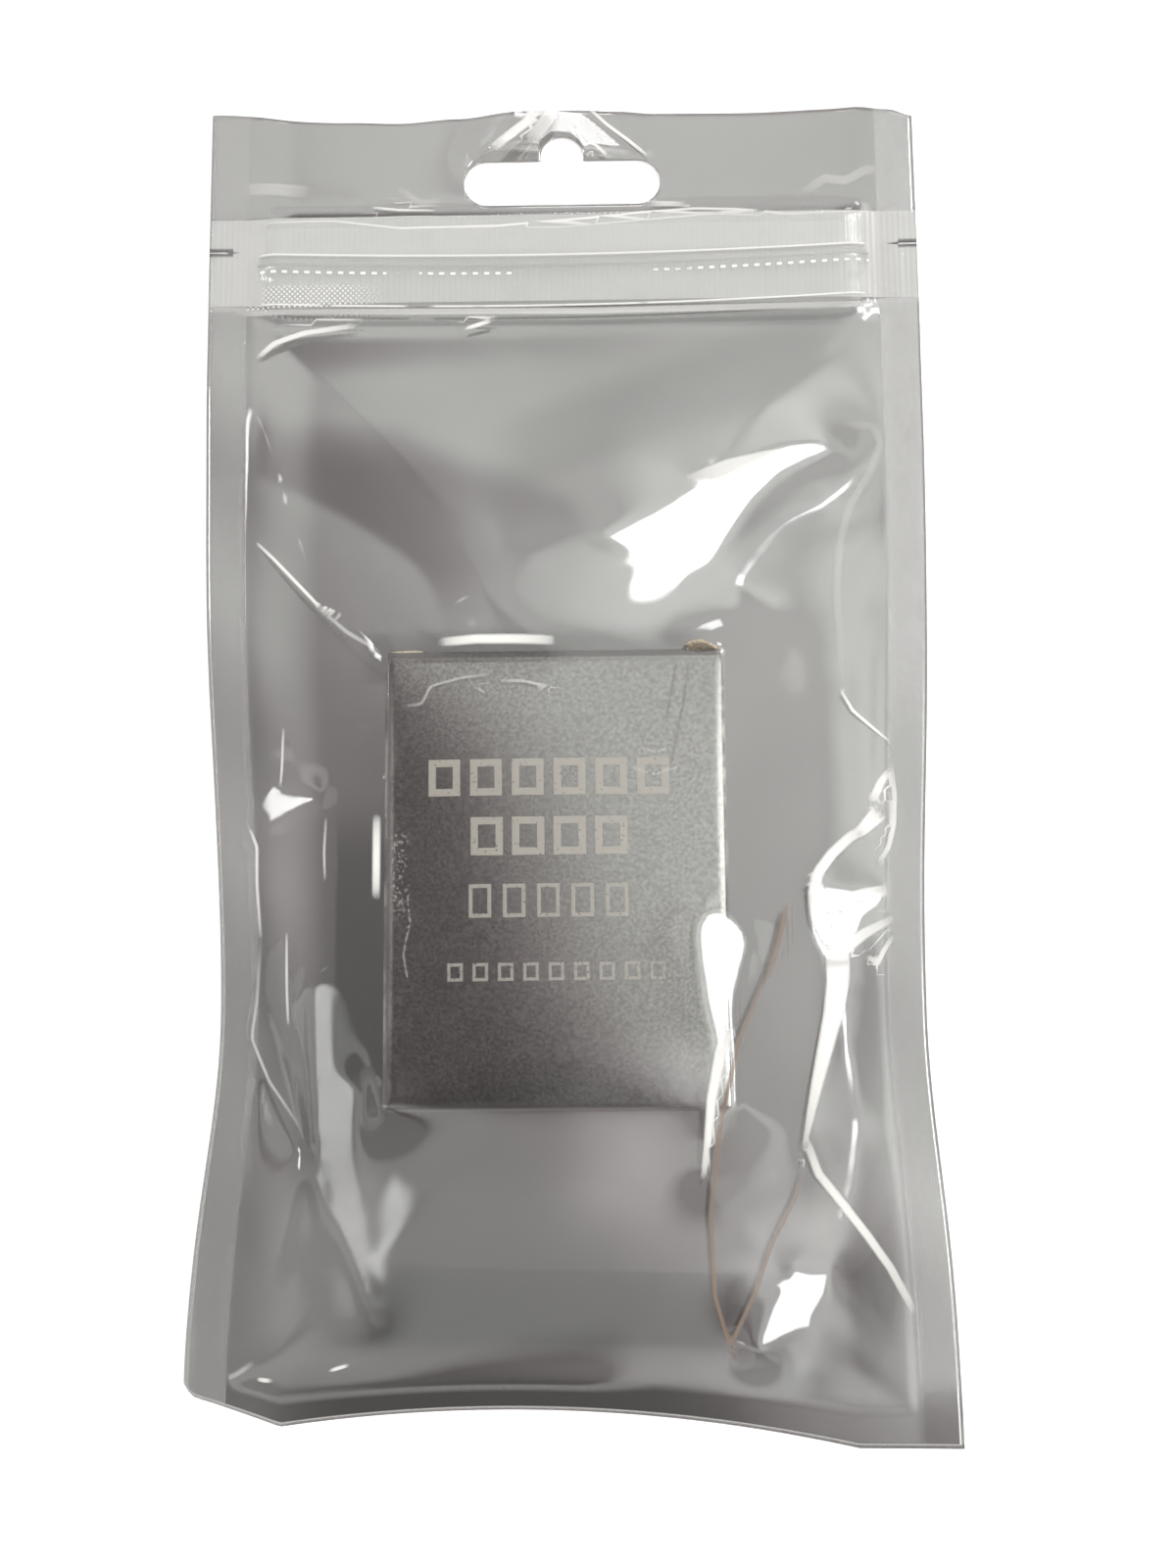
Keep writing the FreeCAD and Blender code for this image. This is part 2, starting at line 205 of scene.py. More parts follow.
class Graph:
    """The node tree of one material, of a lamp or of the world."""

    def __init__(self, owner: bpy.types.Material | bpy.types.World | bpy.types.Light) -> None:
        """Clears the owner's nodes and keeps its tree.

        Args:
            owner: The material, lamp or world.
        """
        owner.use_nodes = True
        self.tree = owner.node_tree
        self.tree.nodes.clear()

    @classmethod
    def material(cls, name: str) -> tuple[bpy.types.Material, Graph]:
        """Makes a named material with an empty graph."""
        made = bpy.data.materials.new(name)
        return made, cls(made)

    def feed(self, socket: bpy.types.NodeSocket, value: Any) -> None:
        """Links a socket or Value to an input, or sets the input's own value.

        Args:
            socket: The input.
            value: A Value, a socket, a node whose first output is meant, a number or a colour.
        """
        if isinstance(value, Value):
            self.tree.links.new(value.socket, socket)
        elif isinstance(value, bpy.types.Node):
            self.tree.links.new(value.outputs[0], socket)
        elif isinstance(value, bpy.types.NodeSocket):
            self.tree.links.new(value, socket)
        elif isinstance(value, tuple) and socket.type == "RGBA":
            socket.default_value = (*value[:3], 1.0)
        else:
            socket.default_value = value

    def node(
        self, kind: str, settings: dict[str, Any] | None = None, inputs: dict[Any, Any] | None = None
    ) -> bpy.types.Node:
        """Adds one node.

        Args:
            kind: The node's type.
            settings: Its settings, set first.
            inputs: Values or links for its sockets, by name or number.

        Returns:
            The node.
        """
        made = self.tree.nodes.new(kind)
        for name, value in (settings or {}).items():
            setattr(made, name, value)
        for key, value in (inputs or {}).items():
            self.feed(made.inputs[key], value)
        return made

    def number(self, node: bpy.types.Node, output: str | int = 0) -> Value:
        """One number output of a node."""
        return Value(self, node.outputs[output])

    def place(self) -> tuple[Value, Value, Value]:
        """Object coordinates in millimetres.

        Returns:
            X, Y and Z.
        """
        where = self.node("ShaderNodeTexCoord")
        split = self.node("ShaderNodeSeparateXYZ", None, {0: where.outputs["Object"]})
        return tuple(self.number(split, axis) * (1.0 / MM) for axis in range(3))

    def flat(self, width: float, length: float) -> tuple[Value, Value]:
        """Place on the laid-flat film in millimetres from its middle.

        Args:
            width: The film's width.
            length: The film's length.

        Returns:
            Across and along.
        """
        where = self.node("ShaderNodeUVMap", {"uv_map": FLAT_UV})
        split = self.node("ShaderNodeSeparateXYZ", None, {0: where.outputs[0]})
        return (self.number(split, 0) - 0.5) * width, (self.number(split, 1) - 0.5) * length

    def line_field(self) -> tuple[Value, Value]:
        """Reads the film's drawn marks: crease whitening, painted glints and tan painted reflections.

        Returns:
            Distance to the nearest line, 0.5 on its edge, and how strongly the line shows.
        """
        where = self.node("ShaderNodeUVMap", {"uv_map": LINE_UV})
        split = self.node("ShaderNodeSeparateXYZ", None, {0: where.outputs[0]})
        return abs(self.number(split, 0)), self.number(split, 1)

    def noise(self, scale: float, detail: float = 3.0, roughness: float = 0.55) -> Value:
        """Noise on Object coordinates, around 0.5.

        Args:
            scale: Features for each metre.
            detail: Octaves.
            roughness: How strong the finer octaves are.

        Returns:
            The noise.
        """
        where = self.node("ShaderNodeTexCoord")
        made = self.node(
            "ShaderNodeTexNoise", None,
            {"Vector": where.outputs["Object"], "Scale": scale, "Detail": detail, "Roughness": roughness},
        )
        return self.number(made, 0)

    def stroke(self, points: tuple[Point, ...], width: float) -> Value:
        """1 along a line of points seen from above, 0 beside it.

        Args:
            points: The line's points in millimetres.
            width: The line's width.

        Returns:
            The mask.
        """
        x, y, _ = self.place()
        gap = None
        for start, end in zip(points, points[1:]):
            run = (end[0] - start[0], end[1] - start[1])
            length = run[0] ** 2 + run[1] ** 2
            off_x, off_y = x - start[0], y - start[1]
            share = (off_x * (run[0] / length) + off_y * (run[1] / length)).most(0.0).least(1.0)
            aside, ahead = off_x - share * run[0], off_y - share * run[1]
            here = aside * aside + ahead * ahead
            gap = here if gap is None else gap.least(here)
        return gap.ramp((width * 0.75) ** 2, (width * 0.25) ** 2)

    def blend(self, factor: Any, first: Any, second: Any) -> bpy.types.NodeSocket:
        """Mixes two colours.

        Args:
            factor: 0 for the first, 1 for the second.
            first: A colour or its socket.
            second: A colour or its socket.

        Returns:
            The mixed colour's socket.
        """
        made = self.tree.nodes.new("ShaderNodeMix")
        made.data_type = "RGBA"
        sockets = {socket.identifier: socket for socket in made.inputs}
        self.feed(sockets["Factor_Float"], factor)
        self.feed(sockets["A_Color"], first)
        self.feed(sockets["B_Color"], second)
        return next(socket for socket in made.outputs if socket.identifier == "Result_Color")

    def bump(self, height: Value, distance: float) -> bpy.types.NodeSocket:
        """A Bump node's normal.

        Args:
            height: The relief, from 0 to 1.
            distance: What 1 stands for, in millimetres.

        Returns:
            The normal's socket.
        """
        made = self.node("ShaderNodeBump", None, {"Distance": distance * MM, "Height": height})
        return made.outputs[0]

    def principled(self, inputs: dict[str, Any]) -> bpy.types.Node:
        """A Principled shader with those sockets set."""
        return self.node("ShaderNodeBsdfPrincipled", None, inputs)

    def mix(self, factor: Any, first: bpy.types.Node, second: bpy.types.Node) -> bpy.types.Node:
        """A Mix Shader: the first shader at 0 and the second at 1."""
        return self.node("ShaderNodeMixShader", None, {0: factor, 1: first, 2: second})

    def output(self, shader: bpy.types.Node) -> None:
        """Ends the graph with a material output."""
        self.node("ShaderNodeOutputMaterial", None, {"Surface": shader})


@dataclass(frozen=True)
class Patch:
    """A soft-edged rectangle: each side is where it starts to show and where it is full."""

    left: Point | None = None
    right: Point | None = None
    low: Point | None = None
    high: Point | None = None

    def mask(self, x: Value, y: Value) -> Value:
        """1 in the patch and 0 outside it; a side that isn't given is open."""
        sides = ((x, self.left), (x, self.right), (y, self.low), (y, self.high))
        return reduce(mul, [place.ramp(*side) for place, side in sides if side])


@dataclass(frozen=True)
class BagSizes:
    """Sizes of the laid-flat bag and its zip that films and finishes share, in millimetres."""

    width: float = 120.0
    length: float = 220.0
    film: float = 0.12
    side_seal: float = 6.5
    foot_seal: float = 4.5
    zip_top: float = 90.5
    zip_bottom: float = 75.0
    zip_track: float = 82.0
    slit_middle: float = 84.7

    @classmethod
    def from_frame(cls) -> BagSizes:
        """Reads the bag's outer size and the zip's band from the frame.

        Returns:
            The sizes.
        """
        low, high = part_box("front_film")
        zip_low, zip_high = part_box("zip_groove_strip")
        return cls(
            width=(high.x - low.x) / MM, length=(high.y - low.y) / MM,
            zip_top=zip_high.y / MM, zip_bottom=zip_low.y / MM,
        )

    @property
    def half_width(self) -> float:
        """Half of the width."""
        return self.width / 2

    @property
    def half_length(self) -> float:
        """Half of the length."""
        return self.length / 2


@dataclass(frozen=True)
class ClearFilm:
    """Clear glossy film: mirrors by its Fresnel share, with a faint veil and embossed seals, and painted
    light in its veil: pale painted glints and sheen, dark painted shade and tan painted reflections.
    """

    sizes: BagSizes
    tint: Colour = (0.97, 0.975, 0.975)
    gloss_colour: Colour = (0.98, 0.98, 0.98)
    gloss_roughness: float = 0.035
    index: float = 1.5
    veil: float = 0.004
    seal_veil: float = 0.05
    # Extra veil on the right weld: painted sheen.
    right_weld_sheen: float = 0.05
    header_veil: float = 0.04
    zip_veil: float = 0.11
    flange_veil: float = 0.10
    # Painted sheen: extra veil in three patches at the right, the left and the lower left.
    right_sheen: float = 0.08
    left_sheen: float = 0.03
    foot_sheen: float = 0.07
    veil_colour: Colour = (0.86, 0.86, 0.85)
    veil_roughness: float = 0.55
    hatch_pitch: float = 0.85
    hatch_depth: float = 0.05
    rib_pitch: float = 0.95
    rib_depth: float = 0.03
    ripple_depth: float = 0.1
    smear_depth: float = 0.006
    mark_depth: float = 0.85
    right_weld: Patch = Patch(left=(40.0, 52.0), low=(-95.0, -70.0))
    right_sheen_patch: Patch = Patch(left=(43.0, 51.0), low=(-106.0, -96.0), high=(-62.0, -74.0))
    left_sheen_patch: Patch = Patch(right=(-40.0, -50.0), high=(45.0, 30.0))
    foot_sheen_patch: Patch = Patch((-52.0, -43.0), (-27.0, -35.0), (-104.0, -92.0), (-64.0, -78.0))
    smooth_foot: float = 6.0
    bent_corner: Point = (-48.0, -53.0)
    zip_lean: float = 0.007
    zip_bow: float = 0.0005
    border_line: Point = (1.0, 0.2)
    border_depth: float = 0.75
    lower_line: Point = (-0.9, 0.16)
    lower_depth: float = 0.8
    dash_line: Point = (-2.1, 0.22)
    dash_pitch: float = 1.9
    dash_gap: float = 4.0
    track_lines: tuple[Point, Point] = ((0.5, 0.16), (-0.9, 0.2))
    track_depth: float = 0.45
    knurl_pitch: float = 0.9
    knurl_depth: float = 0.7
    knurl: Patch = Patch(right=(-26.0, -38.0), low=(-0.9, -0.6), high=(4.4, 2.6))
    # Colours drawn into the veil: pale for painted glints and for crease whitening, dark for painted shade,
    # tan for painted reflections.
    pale: Colour = (0.95, 0.94, 0.91)
    dark: Colour = (0.05, 0.045, 0.045)
    tan_reflection_colour: Colour = (0.30, 0.22, 0.17)

    def seal_mask(self, across: Value, along: Value) -> Value:
        """1 on the welded side bands, 0 inside them and on the foot's smooth weld.

        Args:
            across: Place across the laid-flat film.
            along: Place along it.

        Returns:
            The mask.
        """
        sizes = self.sizes
        edge = 0.15
        side = (sizes.half_width - abs(across)).ramp(sizes.side_seal + edge, sizes.side_seal - edge)
        foot = (along + sizes.half_length).ramp(sizes.foot_seal, sizes.foot_seal + self.smooth_foot)
        return side * foot.most(across.ramp(*self.bent_corner))

    def zip_mask(self, along: Value) -> Value:
        """1 on the band where a zip tape is welded to the film.

        Args:
            along: Place along the laid-flat film.

        Returns:
            The mask.
        """
        edge = 0.2
        sizes = self.sizes
        upper = along.ramp(sizes.zip_top + edge, sizes.zip_top - edge)
        return upper * along.ramp(sizes.zip_bottom - 1.0 - edge, sizes.zip_bottom - 1.0 + edge)

    def zip_marks(self, graph: Graph, across: Value, along: Value) -> tuple[Value, Value]:
        """Painted highlights and painted shade over the zip: pale lines along its track and lower edge, a
        row of dashes and knurl glints, and dark lines beside its track and at its crushed slit ends.

        Args:
            graph: The material's graph.
            across: Place across the laid-flat film.
            along: Place along it.

        Returns:
            Masks of the painted highlights and of the painted shade.
        """
        sizes = self.sizes
        inner = sizes.half_width - sizes.side_seal
        level = along - across * self.zip_lean - across * across * self.zip_bow
        broken = graph.noise(180.0, 2.0, 0.5)
        inside = (inner - abs(across)).ramp(-0.3, 0.3)

        def line(start: float, mark: Point) -> Value:
            """1 on a line across the bag: its offset from a start, and its half width."""
            offset, half = mark
            return abs(level - (start + offset)).ramp(half * 1.4, half * 0.6)

        # Painted highlights: pale lines, dashes and knurl glints.
        border = line(sizes.zip_track, self.border_line) * self.border_depth
        lower = line(sizes.zip_bottom, self.lower_line) * broken.ramp(0.3, 0.5) * self.lower_depth
        beat = across.wave(self.dash_pitch).ramp(-0.2, 0.3)
        ends = abs(across - self.dash_gap).ramp(8.0, 14.0)
        dashes = line(sizes.zip_track, self.dash_line) * beat * ends * broken.ramp(0.33, 0.45)
        grid = across.wave(self.knurl_pitch) * along.wave(self.knurl_pitch)
        knurl = grid.ramp(0.1, 0.5) * self.knurl.mask(across, along - sizes.zip_bottom)
        knurl = knurl * self.knurl_depth
        pale = border.most(lower).most(dashes).most(knurl) * inside
        # Painted shade: dark lines beside the track and at the slit ends.
        upper, under = (line(sizes.zip_track, mark) for mark in self.track_lines)
        slit = abs(along - sizes.slit_middle).ramp(1.0, 0.5) * abs(across).ramp(inner, inner + 1.2)
        track = upper.most(under) * inside * self.track_depth
        return pale, track.most(slit * self.mark_depth)

    def flange(self, across: Value, along: Value) -> Value:
        """1 on the zip tape's upper flange, which is milkier than its track.

        Args:
            across: Place across the laid-flat film.
            along: Place along it.

        Returns:
            The mask.
        """
        sizes = self.sizes
        low, high = sizes.zip_track + 1.2, sizes.zip_top - 2.2
        tall = along.ramp(low, low + 0.4) * along.ramp(high + 0.4, high)
        return tall * (sizes.half_width - sizes.side_seal - abs(across)).ramp(0.0, 1.5)

    def hatch(self, across: Value, along: Value) -> Value:
        """Crossed embossing lines of the sealing jaws, from 0 to 1."""
        return (across + along).wave(self.hatch_pitch) * (across - along).wave(self.hatch_pitch) * 0.5 + 0.5

    def relief(self, graph: Graph, across: Value, along: Value) -> Value:
        """Relief of the embossed side welds, of the zip band's grip ribs and of a slow ripple.

        Args:
            graph: The material's graph.
            across: Place across the laid-flat film.
            along: Place along it.

        Returns:
            The relief in millimetres.
        """
        ribs = across.wave(self.rib_pitch) * 0.5 + 0.5
        hatch_relief = self.hatch(across, along) * self.seal_mask(across, along) * self.hatch_depth
        rib_relief = ribs * self.zip_mask(along) * self.rib_depth
        return hatch_relief + rib_relief + graph.noise(55.0, 1.0, 0.4) * self.ripple_depth

    def haze(self, graph: Graph, across: Value, along: Value) -> Value:
        """How milky the film is: on its welds, the zip's tape and the header, and in smears, with painted
        sheen on the right weld and in three patches at the right, the left and the lower left.

        Args:
            graph: The material's graph.
            across: Place across the laid-flat film.
            along: Place along it.

        Returns:
            The share of the veil, from 0 to 1.
        """
        smears = graph.noise(30.0, 2.0, 0.5) * self.smear_depth
        header = along.ramp(self.sizes.zip_top, self.sizes.zip_top + 2.0)
        # Painted sheen on the right weld.
        right_weld = self.right_weld.mask(across, along) * self.right_weld_sheen
        welded = self.seal_mask(across, along) * (right_weld + self.seal_veil)
        tape = self.zip_mask(along) * self.zip_veil + self.flange(across, along) * self.flange_veil
        # Painted sheen in three patches.
        sheen_patches = (self.right_sheen_patch, self.left_sheen_patch, self.foot_sheen_patch)
        right, left, foot = (patch.mask(across, along) for patch in sheen_patches)
        painted_sheen = right * self.right_sheen + left * self.left_sheen + foot * self.foot_sheen
        return welded + tape + header * self.header_veil + painted_sheen + smears + self.veil

    def build(self) -> bpy.types.Material:
        """Makes the material.

        Returns:
            The material.
        """
        made, graph = Graph.material("clear_film")
        across, along = graph.flat(self.sizes.width, self.sizes.length)
        normal = graph.bump(self.relief(graph, across, along), 1.0)
        gloss = graph.principled(
            {"Base Color": self.gloss_colour, "Metallic": 1.0, "Roughness": self.gloss_roughness,
             "Normal": normal}
        )
        pale, dark = self.zip_marks(graph, across, along)
        # Drawn marks: pale crease whitening and painted glints, and tan painted reflections where the
        # strength is negative.
        gap, strength = graph.line_field()
        drawn = gap.ramp(0.75, 0.25) * strength
        pale, tan_reflection_share = pale.most(drawn), (drawn * -1.0).most(0.0)
        colour = graph.blend(pale, self.veil_colour, self.pale)
        colour = graph.blend(tan_reflection_share.ramp(0.0, 0.1), colour, self.tan_reflection_colour)
        # Painted shade at the zip.
        colour = graph.blend(dark, colour, self.dark)
        veil = graph.principled({"Base Color": colour, "Roughness": self.veil_roughness, "Normal": normal})
        clear = graph.node("ShaderNodeBsdfTransparent", None, {"Color": self.tint})
        weight = graph.node("ShaderNodeLayerWeight", None, {"Blend": 0.5, "Normal": normal})
        facing = graph.number(weight, "Facing")
        head_on = ((self.index - 1.0) / (self.index + 1.0)) ** 2
        shine = graph.mix(facing ** 5.0 * (1.0 - head_on) + head_on, clear, gloss)
        marks = (pale * self.mark_depth).most(dark).most(tan_reflection_share)
        graph.output(graph.mix(self.haze(graph, across, along).most(marks), shine, veil))
        return made


@dataclass(frozen=True)
class SilverFilm:
    """Metallised back film: a satin mirror with a mottled tone, and painted shade and a painted reflection
    in its colour.
    """

    colour: Colour = (0.435, 0.425, 0.42)
    metal: float = 0.88
    roughness: float = 0.06
    roughness_swing: float = 0.04
    # Patches of painted shade: beside the carton, a band near the foot, above the carton's head and two on
    # the upper part.
    beside: Patch = Patch((-37.8, -36.8), (-28.5, -30.0), (-55.1, -54.1), (-6.0, -22.0))
    beside_shade_depth: float = 0.5
    step: Patch = Patch((-34.0, -30.0), (44.0, 37.0), high=(-84.15, -84.65))
    step_lean: float = 0.03
    step_foot: Patch = Patch(low=(-101.0, -96.0))
    step_foot_lean: float = 0.12
    step_shade_depth: float = 0.24
    head: Patch = Patch((-35.0, -31.0), (24.0, 18.0), (9.0, 10.0), (19.5, 16.5))
    head_shade_depth: float = 0.28
    wave: Patch = Patch((-16.0, -4.0), (50.0, 40.0), (42.0, 48.0), (61.0, 55.0))
    wave_lean: float = -0.36
    hollow: Patch = Patch((26.0, 31.0), (46.0, 40.0), (21.0, 27.0), (41.0, 36.0))
    wave_shade_depth: float = 0.15
    # A patch of painted reflection, paler, below the carton's foot.
    gleam: Patch = Patch((-4.0, 5.0), (22.0, 9.0), (-82.0, -68.0), (-57.0, -60.0))
    gleam_depth: float = 0.35

    def shade(self, x: Value, y: Value) -> Value:
        """Painted shade: how much darker the film's colour is made beside the carton, in a band near the
        foot, above the carton's head and in two patches on the upper part, in place of reflections.

        Args:
            x: Place across the bag.
            y: Place along it.

        Returns:
            The share of black.
        """
        step = self.step.mask(x, y + x * self.step_lean)
        step = step * self.step_foot.mask(x, y + x * self.step_foot_lean)
        # Painted shade in two patches on the upper part, and in a band near the foot and above the carton's
        # head.
        waves = self.wave.mask(x, y + x * self.wave_lean).most(self.hollow.mask(x, y))
        folds = step * self.step_shade_depth + self.head.mask(x, y) * self.head_shade_depth + waves * self.wave_shade_depth
        return self.beside.mask(x, y) * self.beside_shade_depth + folds

    def build(self) -> bpy.types.Material:
        """Makes the material.

        Returns:
            The material.
        """
        made, graph = Graph.material("silver_film")
        x, y, _ = graph.place()
        cloud = graph.noise(22.0, 2.0, 0.45)
        colour = graph.blend(cloud.ramp(0.35, 0.65), self.colour, shaded(self.colour, 0.92))
        # Painted reflection: the paler patch below the carton's foot.
        colour = graph.blend(self.gleam.mask(x, y) * self.gleam_depth, colour, WHITE)
        # Painted shade from shade().
        colour = graph.blend(self.shade(x, y), colour, BLACK)
        rough = cloud.ramp(0.3, 0.7) * self.roughness_swing + self.roughness
        normal = graph.bump(cloud, 0.3)
        graph.output(graph.principled(
            {"Base Color": colour, "Metallic": self.metal, "Roughness": rough, "Normal": normal}
        ))
        return made


@dataclass(frozen=True)
class ZipPlastic:
    """Milky extruded plastic of the zip tapes, with fine grip lines across them."""

    colour: Colour = (0.65, 0.65, 0.64)
    tint: Colour = (0.95, 0.95, 0.95)
    body: float = 0.75
    body_swing: float = 0.2
    roughness: float = 0.18
    roughness_swing: float = 0.15
    rib_pitch: float = 0.95
    relief: float = 0.05

    def build(self) -> bpy.types.Material:
        """Makes the material.

        Returns:
            The material.
        """
        made, graph = Graph.material("zip_plastic")
        across, _, _ = graph.place()
        ribs = across.wave(self.rib_pitch) * 0.5 + 0.5
        streaks = graph.noise(120.0, 2.0, 0.5)
        normal = graph.bump(ribs * 0.5 + streaks * 0.5, self.relief)
        colour = graph.blend(streaks.ramp(0.4, 0.7), self.colour, shaded(self.colour, 0.9))
        rough = streaks * self.roughness_swing + self.roughness
        solid = graph.principled({"Base Color": colour, "Roughness": rough, "Normal": normal})
        clear = graph.node("ShaderNodeBsdfTransparent", None, {"Color": self.tint})
        opaque = streaks * self.body_swing + (self.body - self.body_swing / 2)
        graph.output(graph.mix(opaque, clear, solid))
        return made


@dataclass(frozen=True)
class PrintRow:
    """A row of plain, hollow, pale blocks printed on the carton, in millimetres."""

    start: float
    end: float
    low: float
    high: float
    blocks: int
    duty: float = 0.78
    stroke: float = 1.0
    fade: float = 1.0


@dataclass(frozen=True)
class SilverBoard:
    """Board printed in metallic silver, with rows of hollow blocks, speckle and worn folds, and painted
    light and shade: dark on its left fold, foot edge, bends and the lid's far lip, a sheen towards the foot
    and a dark and pale end panel.
    """

    left: float
    right: float
    foot: float
    head: float
    front: float
    colour: Colour = tone(168, 166, 163)
    print_colour: Colour = tone(172, 166, 157)
    worn_colour: Colour = tone(205, 203, 198)
    # Painted shade colours for the lid's far lip and the folds, and a painted light colour for the foot's
    # end panel.
    lip_shade_colour: Colour = tone(70, 66, 64)
    fold_shade_colour: Colour = tone(84, 78, 77)
    end_light_colour: Colour = tone(214, 211, 206)
    # Painted sheen: the lower front panel blended towards white.
    painted_sheen_patch: Patch = Patch(left=(-14.0, 6.0), high=(-45.0, -57.0))
    painted_sheen_share: float = 0.35
    rubbed: Patch = Patch((0.8, 1.6), (4.6, 3.0), (-32.0, -27.0), (-15.0, -19.0))
    rub_depth: float = 0.55
    right_fold: Patch = Patch(left=(-1.9, -0.5), low=(-40.0, -8.0))
    left_fold: Patch = Patch(right=(0.8, 0.2))
    left_fold_depth: float = 0.5
    # Painted shade along the left fold and the foot edge.
    dark_side: Patch = Patch(right=(1.4, 0.7))
    dark_side_depth: float = 0.8
    dark_foot: Patch = Patch(high=(0.9, 0.3))
    dark_foot_depth: float = 0.6
    bend_depth: float = 0.3
    scratch_depth: float = 0.6
    line_width: float = 0.35
    cover: float = 0.8
    dulling: float = 0.7
    metal: float = 0.97
    relief: float = 0.012
    # Crease lines of the board, drawn as painted shade.
    bends: tuple[tuple[Point, ...], ...] = (
        ((17.6, 9.4), (16.6, 4.0), (15.9, 0.6)),
        ((19.6, 9.4), (18.4, 2.0), (16.6, -6.5)),
    )
    scratches: tuple[tuple[Point, ...], ...] = (
        ((11.5, -4.0), (14.0, -4.9), (16.2, -4.2)),
        ((10.6, -7.4), (13.8, -8.4), (17.6, -7.2)),
        ((-24.6, -27.0), (-24.2, -31.0), (-25.2, -36.0), (-24.6, -39.5)),
    )
    roughness: float = 0.17
    roughness_swing: float = 0.06
    print_roughness: float = 0.18
    rows: tuple[PrintRow, ...] = (
        PrintRow(-21.4, 16.2, -11.5, -5.7, 6, 0.76, 1.15),
        PrintRow(-14.8, 9.6, -20.9, -14.9, 4, 0.78, 1.15),
        PrintRow(-15.1, 9.6, -30.6, -25.4, 5, 0.66, 0.6, 0.85),
        PrintRow(-18.4, 15.2, -40.4, -37.6, 9, 0.62, 0.5, 0.7),
    )

    def strokes(self, graph: Graph, lines: tuple[tuple[Point, ...], ...]) -> Value:
        """1 on any of several thin lines."""
        return reduce(Value.most, [graph.stroke(line, self.line_width) for line in lines])

    def row_mask(self, row: PrintRow, x: Value, y: Value) -> Value:
        """1 on the hollow blocks of one printed row.

        Args:
            row: The row.
            x: Place across the carton.
            y: Place along it.

        Returns:
            The mask.
        """
        edge = 0.07
        pitch = (row.end - row.start) / (row.blocks - 1 + row.duty)
        half = row.duty * pitch / 2
        tall = (row.high - row.low) / 2
        inside = x.ramp(row.start - edge, row.start + edge) * x.ramp(row.end + edge, row.end - edge)
        phase = (x - (row.start + half)) / pitch + 0.5
        beat = abs((phase - phase.floor() - 0.5) * pitch)
        level = abs(y - (row.low + row.high) / 2)
        rim = (beat - half).most(level - tall)
        block = rim.ramp(edge, -edge) * rim.ramp(-row.stroke - edge, -row.stroke + edge)
        return inside * block * row.fade

    def worn_mask(self, graph: Graph, speckle: Value, mottle: Value) -> Value:
        """1 where the board is worn: along its long folds, on a rubbed patch and in scratches.

        Args:
            graph: The material's graph.
            speckle: The board's fine grain.
            mottle: Its coarse grain.

        Returns:
            The mask.
        """
        x, y, z = graph.place()
        scuff = mottle.ramp(0.42, 0.62)
        rubbed = self.rubbed.mask(x - self.left, y) * speckle.ramp(0.52, 0.62) * self.rub_depth
        scratched = self.strokes(graph, self.scratches) * speckle.ramp(0.35, 0.55) * self.scratch_depth
        right_fold = self.right_fold.mask(x - self.right, y) * scuff
        left_fold = self.left_fold.mask(x - self.left, y) * scuff * self.left_fold_depth
        worn = right_fold.most(left_fold).most(rubbed).most(scratched)
        return worn * z.ramp(self.front - 1.4, self.front - 0.3)

    def silver(self, graph: Graph, speckle: Value) -> bpy.types.NodeSocket:
        """Colour of the bare board: speckled, with painted shade on its left fold, its foot edge and its
        bends, and a painted sheen towards the foot.

        Args:
            graph: The material's graph.
            speckle: The board's fine grain.

        Returns:
            The colour's socket.
        """
        x, y, _ = graph.place()
        silver = graph.blend(speckle.ramp(0.3, 0.7), shaded(self.colour, 0.8), shaded(self.colour, 1.14))
        # Painted shade along the left fold.
        side = self.dark_side.mask(x - self.left, y) * self.dark_side_depth
        silver = graph.blend(side, silver, self.fold_shade_colour)
        # Painted shade along the foot edge and the bends.
        folds = self.dark_foot.mask(x, y - self.foot) * self.dark_foot_depth
        bends = self.strokes(graph, self.bends) * self.bend_depth
        silver = graph.blend(folds.most(bends), silver, self.fold_shade_colour)
        # Painted sheen towards the foot.
        return graph.blend(self.painted_sheen_patch.mask(x, y) * self.painted_sheen_share, silver, WHITE)

    def build(self) -> bpy.types.Material:
        """Makes the material.

        Returns:
            The material.
        """
        made, graph = Graph.material("silver_board")
        x, y, z = graph.place()
        speckle = graph.noise(1900.0, 2.0, 0.6)
        mottle = graph.noise(160.0, 3.0, 0.6)
        print_mask = reduce(Value.most, [self.row_mask(row, x, y) for row in self.rows])
        print_mask = print_mask * z.ramp(self.front - 0.5, self.front - 0.2) * speckle.ramp(0.2, 0.42)
        worn = self.worn_mask(graph, speckle, mottle)
        printed = graph.blend(print_mask, self.silver(graph, speckle), self.print_colour)
        shown = graph.blend(worn * self.cover, printed, self.worn_colour)
        # Painted shade on the lid's far lip.
        far_lip_shade = y.ramp(self.head + 0.75, self.head + 1.1)
        shown = graph.blend(far_lip_shade * self.cover, shown, self.lip_shade_colour)
